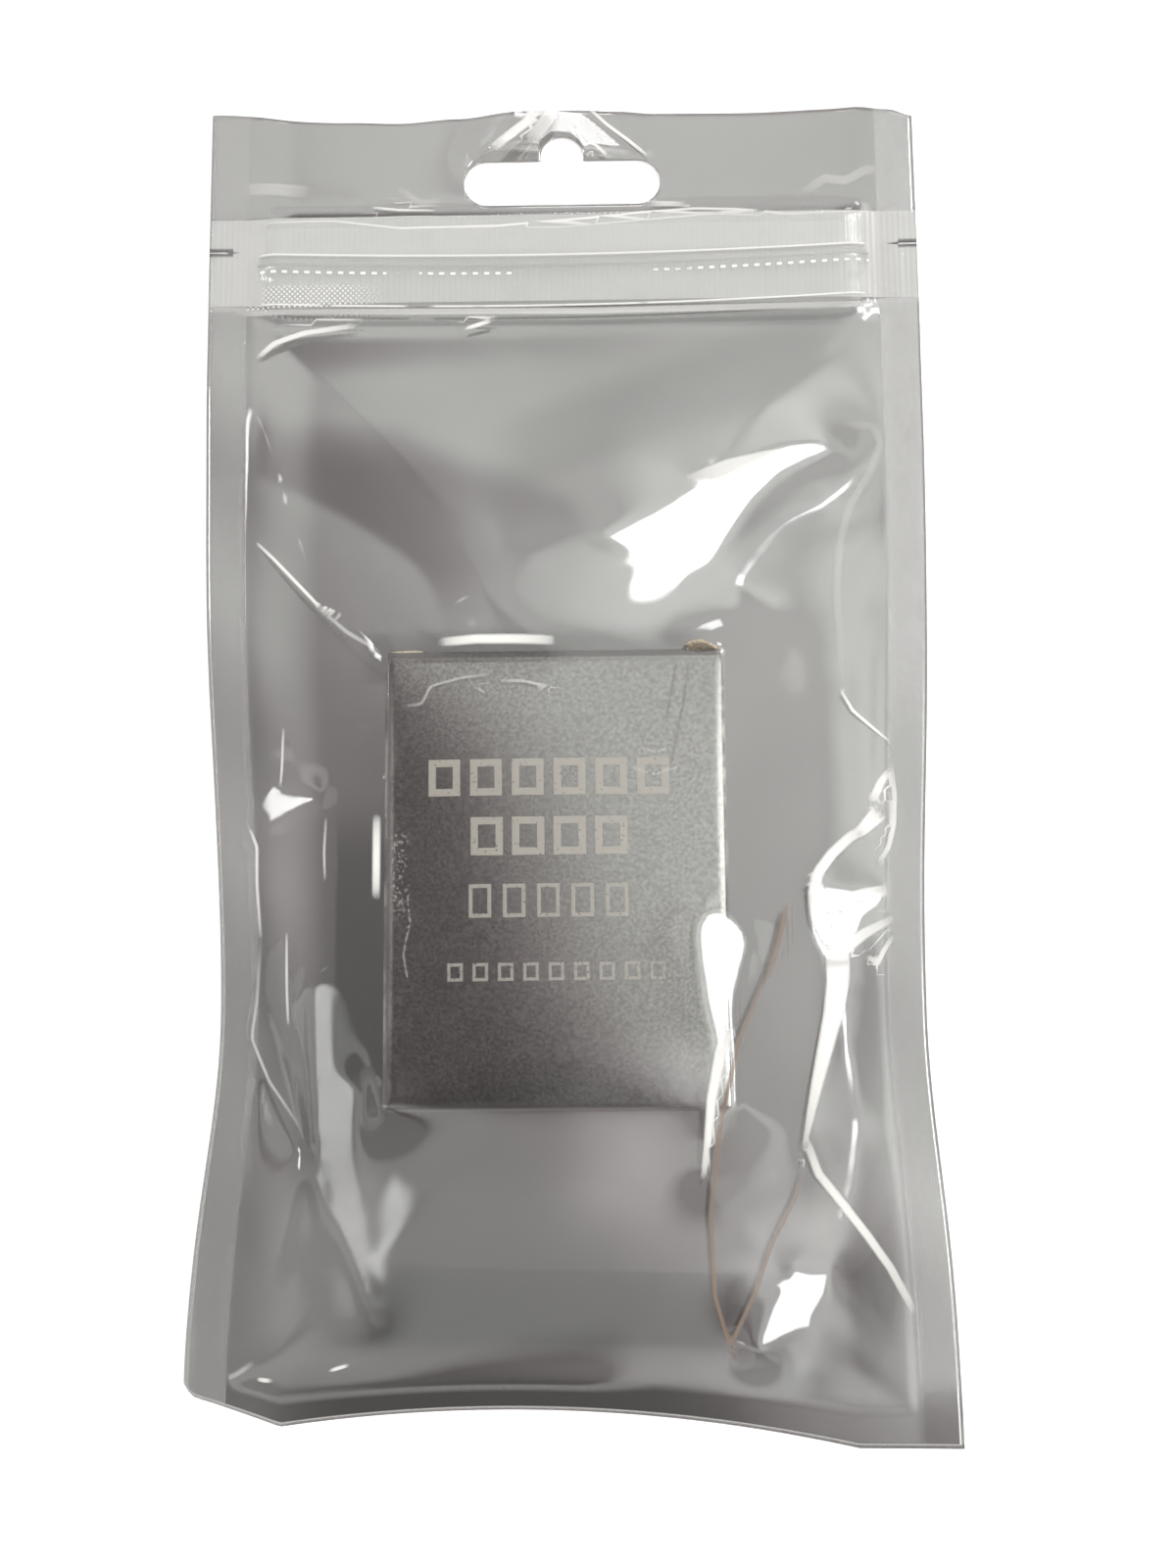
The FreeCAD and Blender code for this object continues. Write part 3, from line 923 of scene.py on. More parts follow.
        # Painted light and shade on the foot's end panel: dark near the front, pale below.
        end_panel = y.ramp(self.foot + 0.2, self.foot + 0.05)
        painted_end_tone = graph.blend(z.ramp(self.front - 2.0, self.front - 4.5), self.fold_shade_colour, self.end_light_colour)
        shown = graph.blend(end_panel * self.cover, shown, painted_end_tone)
        dull = print_mask.most(worn * self.dulling).most(far_lip_shade).most(end_panel * self.dulling)
        metal = (1.0 - dull) * self.metal
        swing = self.roughness_swing
        rough = speckle * swing + mottle * swing
        rough = rough + print_mask * self.print_roughness + (self.roughness - swing)
        normal = graph.bump(speckle * 0.2 + mottle * 0.8, self.relief)
        graph.output(graph.principled(
            {"Base Color": shown, "Metallic": metal, "Roughness": rough, "Normal": normal}
        ))
        return made


@dataclass(frozen=True)
class RawBoard:
    """Unprinted side and cut edge of the board: warm grey fibres."""

    pale: Colour = tone(226, 212, 188)
    dark: Colour = tone(160, 140, 112)
    roughness: float = 0.8
    relief: float = 0.06

    def build(self) -> bpy.types.Material:
        """Makes the material.

        Returns:
            The material.
        """
        made, graph = Graph.material("raw_board")
        fibre = graph.noise(2600.0, 3.0, 0.6)
        colour = graph.blend(fibre.ramp(0.3, 0.7), self.dark, self.pale)
        normal = graph.bump(fibre, self.relief)
        graph.output(graph.principled({"Base Color": colour, "Roughness": self.roughness, "Normal": normal}))
        return made


@dataclass(frozen=True)
class FloorPaper:
    """Plain pale paper that the bag lies on."""

    colour: Colour = (0.9, 0.9, 0.895)
    roughness: float = 0.9
    shine: float = 0.1
    lift: float = 0.5

    def build(self) -> bpy.types.Material:
        """Makes the material: its lift is seen by the camera only and lights nothing.

        Returns:
            The material.
        """
        made, graph = Graph.material("floor_paper")
        grain = graph.noise(300.0, 2.0, 0.5)
        shade = graph.blend(grain, self.colour, shaded(self.colour, 0.985))
        seen = graph.number(graph.node("ShaderNodeLightPath"), "Is Camera Ray")
        graph.output(graph.principled(
            {"Base Color": shade, "Roughness": self.roughness, "Specular IOR Level": self.shine,
             "Emission Color": WHITE, "Emission Strength": seen * self.lift}
        ))
        return made


@dataclass(frozen=True)
class Viewpoint:
    """The photograph's camera: it looks down on the bag from the foot's side."""

    aim: Point = (3.39, -7.52)
    distance: float = 334.0
    tilt: float = math.radians(10.26)
    yaw: float = math.radians(-0.6)
    roll: float = math.radians(-0.58)
    focal_pixels: float = 2100.0
    picture_height: float = 1600.0
    sensor: float = 36.0

    @property
    def forward(self) -> Vector:
        """The way that the camera looks."""
        return Vector((
            math.sin(self.yaw) * math.cos(self.tilt),
            math.sin(self.tilt),
            -math.cos(self.tilt) * math.cos(self.yaw),
        )).normalized()

    @property
    def place(self) -> Vector:
        """Where the camera stands, in millimetres."""
        return Vector((*self.aim, 0.0)) - self.forward * self.distance

    def build(self) -> bpy.types.Object:
        """Makes the scene's camera.

        Returns:
            The camera.
        """
        data = bpy.data.cameras.new("photo_camera")
        data.sensor_width = self.sensor
        data.lens = self.focal_pixels / self.picture_height * self.sensor
        data.clip_start = 0.01
        camera = bpy.data.objects.new("photo_camera", data)
        ahead = self.forward
        level = ahead.cross(Vector((0.0, 1.0, 0.0))).normalized()
        upright = level.cross(ahead)
        right = level * math.cos(self.roll) + upright * math.sin(self.roll)
        up = upright * math.cos(self.roll) - level * math.sin(self.roll)
        turn = Matrix((right, up, -ahead)).transposed().to_4x4()
        camera.matrix_world = Matrix.Translation(self.place * MM) @ turn
        bpy.context.collection.objects.link(camera)
        bpy.context.scene.camera = camera
        return camera


@dataclass(frozen=True)
class Softbox:
    """A rectangular lamp that faces the bag's middle and fades to its edges."""

    name: str
    place: tuple[float, float, float]
    width: float
    height: float
    radiance: float
    edge: float = 0.5
    margin: float = 1.1

    @property
    def reach(self) -> float:
        """About how far a film's slope may be off and still mirror a part of the lamp.

        A slope turns the mirrored way by twice its angle, so half of the half diagonal counts.
        """
        return self.margin * math.hypot(self.width, self.height) / 4.0 / Vector(self.place).length

    def build(self) -> bpy.types.Object:
        """Makes the lamp.

        Returns:
            The lamp.
        """
        data = bpy.data.lights.new(self.name, "AREA")
        data.shape = "RECTANGLE"
        data.size = self.width * MM
        data.size_y = self.height * MM
        data.energy = self.radiance * math.pi * data.size * data.size_y
        graph = Graph(data)
        where = graph.node("ShaderNodeNewGeometry")
        split = graph.node("ShaderNodeSeparateXYZ", None, {0: where.outputs["Parametric"]})
        across, along = (abs(graph.number(split, axis) - 0.5) for axis in range(2))
        inner = 0.5 - self.edge / 2
        strength = across.ramp(0.5, inner) * along.ramp(0.5, inner)
        glow = graph.node("ShaderNodeEmission", None, {"Strength": strength})
        graph.node("ShaderNodeOutputLight", None, {"Surface": glow})
        lamp = bpy.data.objects.new(self.name, data)
        stand = Vector(self.place)
        turn = (-stand).to_track_quat("-Z", "Y").to_matrix().to_4x4()
        lamp.matrix_world = Matrix.Translation(stand * MM) @ turn
        bpy.context.collection.objects.link(lamp)
        return lamp


@dataclass(frozen=True)
class Studio:
    """Floor, lamps, surroundings and camera."""

    view: Viewpoint
    lamps: tuple[Softbox, ...]
    floor_drop: float = 0.35
    floor_half: float = 2500.0
    dark_side: float = 0.10
    bright_side: float = 1.05
    far_side: float = 0.5
    far_from: float = 0.42
    far_until: float = 0.7
    horizon: float = 0.5
    horizon_rise: Point = (0.55, 0.2)
    low_sky: float = 0.25
    slope_across: float = 0.95
    slope_along: float = 0.56
    dark_until: float = -0.1
    bright_from: float = 0.18
    shade: Patch = Patch((-0.139, -0.127), (0.068, 0.056), (-0.6, -0.4), (-0.049, -0.061))
    shade_depth: float = 0.6
    behind: Patch = Patch(low=(-1.2, -0.8), high=(-0.2, -0.6))
    behind_level: float = 1.6
    left_wall: float = 0.7
    left_wall_rise: Point = (-0.2, -0.42)
    window: Patch = Patch((0.2, 0.45), (1.15, 0.75), (-0.75, -0.4), (0.42, 0.2))
    window_level: float = 2.2
    key_glow: float = 2.4
    key_way: Point = (0.64, 0.79)
    key_spread: float = 0.55
    dark_hue: Colour = (1.0, 0.84, 0.87)
    bright_hue: Colour = (1.0, 1.0, 0.97)

    def build_world(self) -> None:
        """Makes surroundings that are darker on the viewer's side and brighter behind the hang hole."""
        world = bpy.data.worlds.new("studio")
        bpy.context.scene.world = world
        graph = Graph(world)
        where = graph.node("ShaderNodeTexCoord")
        split = graph.node("ShaderNodeSeparateXYZ", None, {0: where.outputs["Generated"]})
        across, along, up = (graph.number(split, axis) for axis in range(3))
        rise = up.most(self.low_sky)
        aside, ahead = across / rise, along / rise
        lean = aside * self.slope_across + ahead * self.slope_along
        level = lean.ramp(self.dark_until, self.bright_from, self.dark_side, self.bright_side)
        level = level * (1.0 - self.shade.mask(aside, ahead) * self.shade_depth)
        level = level * lean.ramp(self.far_from, self.far_until, 1.0, self.far_side)
        level = level.most(self.behind.mask(aside, ahead) * self.behind_level)
        level = level.most(aside.ramp(*self.left_wall_rise, 0.0, self.left_wall))
        level = level.most(up.ramp(*self.horizon_rise, 0.0, self.horizon))
        off_x, off_y = aside - self.key_way[0], ahead - self.key_way[1]
        glow = (off_x * off_x + off_y * off_y).ramp(0.0, self.key_spread ** 2, self.key_glow, 0.0)
        level = level + self.window.mask(aside, ahead) * self.window_level + glow
        seen = graph.number(graph.node("ShaderNodeLightPath"), "Is Camera Ray")
        strength = level.most(seen)
        hue = graph.blend(level.ramp(0.2, 0.9), self.dark_hue, self.bright_hue)
        back = graph.node("ShaderNodeBackground", None, {"Color": hue, "Strength": strength})
        graph.node("ShaderNodeOutputWorld", None, {"Surface": back})

    def build_floor(self) -> None:
        """Makes the pale floor."""
        shape = bmesh.new()
        bmesh.ops.create_grid(shape, x_segments=2, y_segments=2, size=self.floor_half * MM)
        bmesh.ops.translate(shape, verts=shape.verts, vec=(0.0, 0.0, -self.floor_drop * MM))
        floor = as_object("floor", shape)
        floor.data.materials.append(FloorPaper().build())

    def build(self) -> None:
        """Makes the whole studio."""
        self.build_world()
        self.build_floor()
        for lamp in self.lamps:
            lamp.build()
        self.view.build()
        bpy.context.scene.view_settings.view_transform = "Standard"


def as_object(name: str, shape: bmesh.types.BMesh) -> bpy.types.Object:
    """Turns a bmesh into a linked object with smooth faces and frees the bmesh.

    Args:
        name: The piece's name.
        shape: The finished bmesh, in metres.

    Returns:
        The object.
    """
    for face in shape.faces:
        face.smooth = True
    mesh = bpy.data.meshes.new(name)
    shape.to_mesh(mesh)
    shape.free()
    made = bpy.data.objects.new(name, mesh)
    bpy.context.collection.objects.link(made)
    return made


def edges_along(shape: bmesh.types.BMesh, axis: int, shortest: float = 0.0) -> list[bmesh.types.BMEdge]:
    """The edges of a shape that run along an axis and are longer than a length.

    Args:
        shape: The bmesh.
        axis: 0, 1 or 2 for X, Y or Z.
        shortest: The length.

    Returns:
        The edges.
    """
    straight = 0.99
    return [
        edge for edge in shape.edges
        if edge.calc_length() > shortest
        and abs((edge.verts[0].co - edge.verts[1].co).normalized()[axis]) > straight
    ]


def to_metres(shape: bmesh.types.BMesh) -> None:
    """Scales a shape from millimetres to metres."""
    bmesh.ops.scale(shape, verts=shape.verts, vec=Vector((MM, MM, MM)))


def apply_modifiers(piece: bpy.types.Object) -> None:
    """Bakes a piece's modifiers into its mesh.

    Args:
        piece: The piece, changed in place.
    """
    bpy.context.view_layer.update()
    graph = bpy.context.evaluated_depsgraph_get()
    baked = bpy.data.meshes.new_from_object(piece.evaluated_get(graph), depsgraph=graph)
    baked.name = piece.name
    piece.modifiers.clear()
    piece.data = baked


@dataclass(frozen=True)
class BagPlan:
    """Plan of the filled bag: where a point of the laid-flat film ends up, seen from above."""

    sizes: BagSizes
    waist: float = -45.0
    pull_left: float = 4.6
    pull_right: float = 3.3
    fade_up: float = 52.0
    fade_down: float = 33.0
    foot_pull: float = 5.4
    foot_middle: float = -8.0
    foot_reach: float = 52.0
    foot_drop: float = 0.7
    foot_skew: float = 0.014
    foot_fade: float = 50.0
    corner_start: float = -45.0
    corner_slope: float = 0.5
    corner_round: float = 2.0
    corner_ease: float = 0.4
    top_knots: tuple[Point, ...] = (
        (-60.0, 0.0), (-37.0, -1.3), (-28.0, -1.6), (-18.0, -0.9), (-7.0, 0.4), (2.0, 0.4), (10.0, 0.0),
        (16.0, -0.5), (31.0, -0.6), (50.0, 0.0), (56.0, -0.7), (60.0, -2.0),
    )

    def waist_share(self, v: np.ndarray) -> np.ndarray:
        """How much of the waist's pull the side edges have at each height."""
        reach = np.where(v > self.waist, self.fade_up, self.fade_down)
        return np.exp(-(((v - self.waist) / reach) ** 2))

    def left_edge(self, v: np.ndarray) -> np.ndarray:
        """The left edge's place across the bag."""
        return -self.sizes.half_width + self.pull_left * self.waist_share(v)

    def right_edge(self, v: np.ndarray) -> np.ndarray:
        """The right edge's place across the bag."""
        return self.sizes.half_width - self.pull_right * self.waist_share(v)

    def foot_rise(self, u: np.ndarray) -> np.ndarray:
        """How far the foot edge is drawn up along its width, with the bent corner at the left.

        Args:
            u: Places across the laid-flat film.

        Returns:
            The rises.
        """
        bow = self.foot_pull * (1.0 - ((u - self.foot_middle) / self.foot_reach) ** 2)
        corner = np.maximum(self.corner_start - u, 0.0)
        bend = self.corner_slope * corner
        outer = np.maximum(-self.sizes.half_width + self.corner_round - u, 0.0)
        drop = self.foot_drop + self.foot_skew * u
        return np.maximum(bow, 0.0) + bend + outer ** 2 * self.corner_ease - drop

    def top_wave(self, u: np.ndarray) -> np.ndarray:
        """Slight waves of the open top edge, eased between their knots.

        Args:
            u: Places across the laid-flat film.

        Returns:
            How far the edge stands up.
        """
        wave = np.zeros_like(u)
        for (start, low), (end, high) in zip(self.top_knots, self.top_knots[1:]):
            here = (u >= start) & (u <= end)
            wave = np.where(here, low + (high - low) * smooth_step(start, end, u), wave)
        return wave

    def lay(self, u: np.ndarray, v: np.ndarray) -> tuple[np.ndarray, np.ndarray]:
        """Moves laid-flat places to the filled bag's plan.

        Args:
            u: Places across the laid-flat film.
            v: Places along it.

        Returns:
            Places across and along the filled bag.
        """
        share = (u + self.sizes.half_width) / self.sizes.width
        left, right = self.left_edge(v), self.right_edge(v)
        x = left + (right - left) * share
        low = np.clip((self.foot_fade - self.sizes.half_length - v) / self.foot_fade, 0.0, 1.0)
        high = np.clip((v - self.sizes.zip_top) / (self.sizes.half_length - self.sizes.zip_top), 0.0, 1.0)
        y = v + self.foot_rise(u) * low ** 2 + self.top_wave(u) * high ** 2
        return x, y


class Lit(Enum):
    """Which lamp a glint in the film mirrors to the camera."""

    KEY = "key"
    SIDE = "side"
    TOP = "top"
    RIGHT = "right"
    FILL = "fill"
    GLOW = "glow"


@dataclass(frozen=True)
class Glint:
    """A facet of the film, turned so that it mirrors a lamp: outline corners in millimetres."""

    corners: tuple[Point, ...]
    lit: Lit = Lit.KEY
    soft: float = 0.8
    grip: float = 25.0
    share: float = 1.0


@dataclass(frozen=True)
class Crease:
    """A sharp ridge or, with a negative height, a groove along a line of points."""

    points: tuple[Point, ...]
    height: float
    width: float


@dataclass(frozen=True)
class Tilt:
    """A soft swell of the back film: inside its outline the film leans by these slopes."""

    corners: tuple[Point, ...]
    across: float
    along: float
    soft: float = 5.0


@dataclass(frozen=True)
class Line:
    """A mark drawn in the film's veil along a line of points: pale for crease whitening and painted glints,
    or a tan painted reflection if its strength is negative.
    """

    points: tuple[Point, ...]
    width: float
    strength: float
    tail: float = 0.0

    def width_at(self, along: np.ndarray) -> np.ndarray:
        """The mark's width at shares of its length: the same everywhere, or narrowing to its tail."""
        return self.width + ((self.tail or self.width) - self.width) * along


def distance_to_line(
    x: np.ndarray, y: np.ndarray, start: Point, end: Point
) -> tuple[np.ndarray, np.ndarray]:
    """Distance of points to a straight line piece, and the share along it.

    Args:
        x: Places across.
        y: Places along.
        start: The piece's first end.
        end: The piece's other end.

    Returns:
        The distances and the shares.
    """
    run = np.array(end) - np.array(start)
    share = ((x - start[0]) * run[0] + (y - start[1]) * run[1]) / max(float(run @ run), 1e-9)
    share = np.clip(share, 0.0, 1.0)
    gap = np.hypot(x - start[0] - share * run[0], y - start[1] - share * run[1])
    return gap, share


def outline_mask(x: np.ndarray, y: np.ndarray, corners: tuple[Point, ...], soft: float) -> np.ndarray:
    """1 inside a polygon and 0 outside, with a soft edge.

    Args:
        x: Places across.
        y: Places along.
        corners: The polygon's corners in order.
        soft: Half of the edge's width.

    Returns:
        The mask.
    """
    inside = np.zeros(x.shape, bool)
    gap = np.full(x.shape, 1e9)
    for start, end in zip(corners, corners[1:] + corners[:1]):
        gap = np.minimum(gap, distance_to_line(x, y, start, end)[0])
        if start[1] != end[1]:
            crosses = (start[1] > y) != (end[1] > y)
            at = start[0] + (y - start[1]) * (end[0] - start[0]) / (end[1] - start[1])
            inside ^= crosses & (x < at)
    return smooth_step(-soft, soft, np.where(inside, gap, -gap))


@dataclass
class Drape:
    """Heights of the two films over the filled bag's plan, on a grid of the laid-flat film."""

    sizes: BagSizes
    plan: BagPlan
    carton_low: Vector
    carton_high: Vector
    view: Viewpoint
    lamps: dict[Lit, Softbox]
    carton_bow: float
    columns: int = 150
    rows: int = 275
    seam_knots: tuple[Point, ...] = ((-110.0, 0.4), (-80.0, 0.45), (10.0, 0.45), (45.0, 0.5))
    seam_wave: float = 0.2
    seam_wave_turn: float = 0.145
    seam_wave_out: Point = (42.0, 60.0)
    seam_wave_top: Point = (74.0, 60.0)
    seam_wave_foot: Point = (-108.0, -95.0)
    left_curl: float = 0.04
    right_curl: float = 0.03
    zip_seam: float = 1.07
    zip_crown: float = 2.08
    zip_crush: Point = (52.5, 48.5)
    zip_rise: float = 14.0
    zip_lead: float = 2.6
    zip_weld: float = 1.0
    track_rise: float = 0.55
    track_edge: Point = (1.9, 1.1)
    track_end: Point = (52.0, 50.5)
    weld_gap: float = 0.03
    header_sag: float = 0.7
    header_sag_in: float = 8.0
    header_rise: Point = (1.0, 5.0)
    header_loose: Point = (53.0, 44.0)
    header_swell: float = 0.3
    header_wave: float = 0.2
    header_wave_turn: float = 0.13
    header_wave_start: float = 0.5
    header_free: Point = (0.8, 3.0)
    header_end: Point = (53.0, 50.0)
    over_carton: float = 0.3
    on_carton: float = 0.14
    carton_edge: float = 0.4
    carton_rest: Point = (1.2, -0.3)
    swell: float = 0.82
    right_swell: float = 1.8
    right_from: Point = (0.0, 30.0)
    right_under: Point = (38.0, 8.0)
    turn_up: float = 12.0
    foot_turn_up: float = 8.0
    back_crush: Point = (53.0, 46.0)
    back_zip_rise: float = 8.0
    back_free: float = 3.0
    seam_free: float = 1.5
    clear: float = 0.25
    pinned: float = 50.0
    back_hold: float = 0.004
    front_hold: float = 0.002
    carton_hold: float = 0.05
    header_hold: float = 0.03
    touch_hold: float = 3.0
    lean_grip: float = 8.0
    dim: float = 9.0
    turn_past: float = 1.3
    soft_rounds: int = 3
    lit_rounds: int = 4
    first_steps: int = 700
    back_steps: int = 500
    lit_steps: int = 300
    mark_range: float = 3.5
    unmarked: float = 10.0
    mark_reach: float = 1.4
    mark_spread: Point = (0.6, 0.4)
    mark_fade: float = 1.2
    mark_edge: float = 1.2
    glints: tuple[Glint, ...] = ()
    creases: tuple[Crease, ...] = ()
    tilts: tuple[Tilt, ...] = ()
    lines: tuple[Line, ...] = ()
    laid: np.ndarray | None = None
    u: np.ndarray = field(init=False)
    v: np.ndarray = field(init=False)
    x: np.ndarray = field(init=False)
    y: np.ndarray = field(init=False)

    def __post_init__(self) -> None:
        """Lays out the grid."""
        across = np.linspace(-self.sizes.half_width, self.sizes.half_width, self.columns + 1)
        along = np.linspace(-self.sizes.half_length, self.sizes.half_length, self.rows + 1)
        self.u, self.v = np.meshgrid(across, along, indexing="ij")
        self.x, self.y = self.plan.lay(self.u, self.v)

    def seam(self) -> np.ndarray:
        """Height of the welded seam along the bag, over the whole grid.

        Returns:
            The heights.
        """
        places, heights = zip(*self.seam_knots, (self.sizes.zip_bottom, self.zip_seam))
        lift = np.interp(self.v, places, heights)
        wave = self.seam_wave * np.sin(self.v * self.seam_wave_turn + np.sign(self.u))
        wave = wave * smooth_step(*self.seam_wave_out, np.abs(self.u))
        wave = wave * smooth_step(*self.seam_wave_top, self.v) * smooth_step(*self.seam_wave_foot, self.v)
        inner = self.sizes.half_width - self.sizes.side_seal
        lift = lift + np.maximum(-self.u - inner, 0.0) * self.left_curl
        lift = lift + np.maximum(self.u - inner, 0.0) * self.right_curl
        header = smooth_step(self.sizes.zip_top, self.sizes.zip_top + self.zip_lead, self.v)
        sag = self.header_sag * header * smooth_step(inner, inner - self.header_sag_in, np.abs(self.u))
        return lift - sag + wave

    def edge_gap(self) -> np.ndarray:
        """Distance to the nearest seam or to the zip, 0 outside the pouch.

        Returns:
            The distances.
        """
        sizes = self.sizes
        side = sizes.half_width - sizes.side_seal - np.abs(self.u)
        foot = self.v + sizes.half_length - sizes.foot_seal
        top = sizes.zip_bottom - self.zip_weld - self.v
        return np.maximum(np.minimum(np.minimum(side, foot), top), 0.0)

    def carton_gap(self) -> np.ndarray:
        """Distance to the carton's outline in plan, 0 over the carton.

        Returns:
            The distances.
        """
        low, high = self.carton_low, self.carton_high
        aside = np.maximum(np.maximum(low.x - self.x, self.x - high.x), 0.0)
        ahead = np.maximum(np.maximum(low.y - self.y, self.y - high.y), 0.0)
        return np.hypot(aside, ahead)

    def carton_top(self) -> np.ndarray:
        """Height of the carton's bowed front panel, carried on past its edges.

        Returns:
            The heights.
        """
        low, high = self.carton_low, self.carton_high
        across = np.clip((2.0 * self.x - low.x - high.x) / (high.x - low.x), -1.0, 1.0)
        along = np.clip((2.0 * self.y - low.y - high.y) / (high.y - low.y), -1.0, 1.0)
        return high.z - self.carton_bow * (1.0 - (1.0 - across ** 2) * (1.0 - along ** 4))

    def tent(self) -> np.ndarray:
        """The front film as a plain tent over the carton.

        Returns:
            The heights.
        """
        sizes, edge, carton = self.sizes, self.edge_gap(), self.carton_gap()
        right = smooth_step(*self.right_from, self.u) * smooth_step(*self.right_under, self.v)
        swell = self.swell + (self.right_swell - self.swell) * right
        share = (edge / np.maximum(edge + carton, 1e-6)) ** swell
        seam = self.seam()
        top = self.carton_top() + self.over_carton
        pouch = seam + (top - seam) * share
        out = np.abs(self.u)
        zip_line = seam + (self.zip_crown - seam) * smooth_step(*self.zip_crush, out)
        band = smooth_step(sizes.zip_bottom - self.zip_rise, sizes.zip_bottom, self.v)
        band = band * smooth_step(sizes.zip_top + self.zip_lead, sizes.zip_top, self.v)
        track = smooth_step(*self.track_edge, np.abs(self.v - sizes.zip_track))
        rail = self.track_rise * track * smooth_step(*self.track_end, out)
        header = smooth_step(*self.header_rise, self.v - sizes.zip_top)
        header = header * smooth_step(*self.header_loose, out)
        wave = np.sin(self.u * self.header_wave_turn + self.header_wave_start)
        loose = header * (self.header_swell + self.header_wave * wave)
        return np.maximum(pouch, pouch + (zip_line - pouch) * band) + rail + loose + self.weld_gap

    def back(self) -> np.ndarray:
        """The back film's inner face, laid on the floor with its soft swells.

        Returns:
            The heights.
        """
        if self.laid is None:
            base = self.flat_back()
            slopes = self.slopes_of(base)
            grip = np.ones_like(base)
            for tilt in self.tilts:
                mask = outline_mask(self.x, self.y, tilt.corners, tilt.soft)
                for slope, wanted in zip(slopes, (tilt.across, tilt.along)):
                    slope += wanted * mask
                grip += self.lean_grip * mask
            free = smooth_step(0.0, self.back_free, np.minimum(self.edge_gap(), self.carton_gap()))
            hold = self.pinned * (1.0 - free) + self.back_hold
            swelled = self.settle(base, hold, slopes, grip, self.back_steps)
            self.laid = np.maximum(swelled, base)
        return self.laid

    def flat_back(self) -> np.ndarray:
        """The back film's inner face without swells: flat underneath, turned up to the seams.

        Returns:
            The heights.
        """
        sizes = self.sizes
        seam = self.seam()
        flat = sizes.film
        side = sizes.half_width - sizes.side_seal - np.abs(self.u)
        top = sizes.zip_bottom - self.zip_weld - self.v
        share = smooth_step(0.0, self.turn_up, np.maximum(np.minimum(side, top), 0.0))
        band = smooth_step(sizes.zip_bottom - self.back_zip_rise, sizes.zip_bottom, self.v)
        band = band * smooth_step(sizes.zip_top + self.zip_lead, sizes.zip_top, self.v)
        band = band * smooth_step(*self.back_crush, np.abs(self.u))
        turned = seam + (flat - seam) * np.maximum(share, band)
        foot_top = sizes.foot_seal - sizes.half_length
        foot = smooth_step(foot_top + self.foot_turn_up, foot_top, self.v)
        return np.maximum(turned, flat + (seam - flat) * foot)

    def mirror_slope(self, lamp: Softbox, height: np.ndarray) -> tuple[np.ndarray, np.ndarray]:
        """Slopes at which the film mirrors a lamp to the camera.

        Args:
            lamp: The lamp.
            height: The film's rough heights.

        Returns:
            The slopes across and along.
        """
        here = np.stack([self.x, self.y, height])
        ways = []
        for target in (np.array(self.view.place), np.array(lamp.place)):
            way = target[:, None, None] - here
            ways.append(way / np.linalg.norm(way, axis=0))
        half = ways[0] + ways[1]
        return -half[0] / half[2], -half[1] / half[2]

    def settle(
        self, base: np.ndarray, hold: np.ndarray, slopes: tuple[np.ndarray, np.ndarray], grip: np.ndarray,
        steps: int,
    ) -> np.ndarray:
        """Finds heights that keep near a base and take given slopes, by conjugate gradients.

        Args:
            base: Heights to keep near.
            hold: How firmly each point keeps them.
            slopes: Slopes to take, across and along.
            grip: How firmly each point takes them.
            steps: The most steps.

        Returns:
            The heights.
        """
        run_x, run_y = np.diff(self.x, axis=0), np.diff(self.y, axis=1)
        want_x = (slopes[0][1:] + slopes[0][:-1]) / 2 * run_x
        want_y = (slopes[1][:, 1:] + slopes[1][:, :-1]) / 2 * run_y
        grip_x = (grip[1:] + grip[:-1]) / 2
        grip_y = (grip[:, 1:] + grip[:, :-1]) / 2

        def spread(flow_x: np.ndarray, flow_y: np.ndarray) -> np.ndarray:
            """Gathers flows along the grid's edges at its points.

            Args:
                flow_x: Flows across.
                flow_y: Flows along.

            Returns:
                What each point gains.
            """
            total = np.zeros_like(base)
            total[1:] += flow_x
            total[:-1] -= flow_x
            total[:, 1:] += flow_y
            total[:, :-1] -= flow_y
            return total

        def apply(z: np.ndarray) -> np.ndarray:
            """The pull on heights from their hold and from their neighbours."""
            return hold * z + spread(grip_x * np.diff(z, axis=0), grip_y * np.diff(z, axis=1))

        z = base.copy()
        left = hold * base + spread(grip_x * want_x, grip_y * want_y) - apply(z)
        scale = hold + spread(np.zeros_like(grip_x), np.zeros_like(grip_y))
        scale[1:] += grip_x
        scale[:-1] += grip_x
        scale[:, 1:] += grip_y
        scale[:, :-1] += grip_y
        ready = left / scale
        way = ready.copy()
        power = float((left * ready).sum())
        for _ in range(steps):
            pushed = apply(way)
            share = power / max(float((way * pushed).sum()), 1e-30)
            z += share * way
            left -= share * pushed
            ready = left / scale
            fresh = float((left * ready).sum())
            if fresh < 1e-9:
                break
            way = ready + (fresh / power) * way
            power = fresh
        return z

    def soften(self, heights: np.ndarray, rounds: int) -> np.ndarray:
        """Averages each inner point with its neighbours a few times.

        Args:
            heights: The heights.
            rounds: How many times.

        Returns:
            The softened heights.
        """
        out = heights.copy()
        for _ in range(rounds):
            near = out[2:, 1:-1] + out[:-2, 1:-1] + out[1:-1, 2:] + out[1:-1, :-2]
            out[1:-1, 1:-1] = 0.5 * out[1:-1, 1:-1] + 0.125 * near
        return out

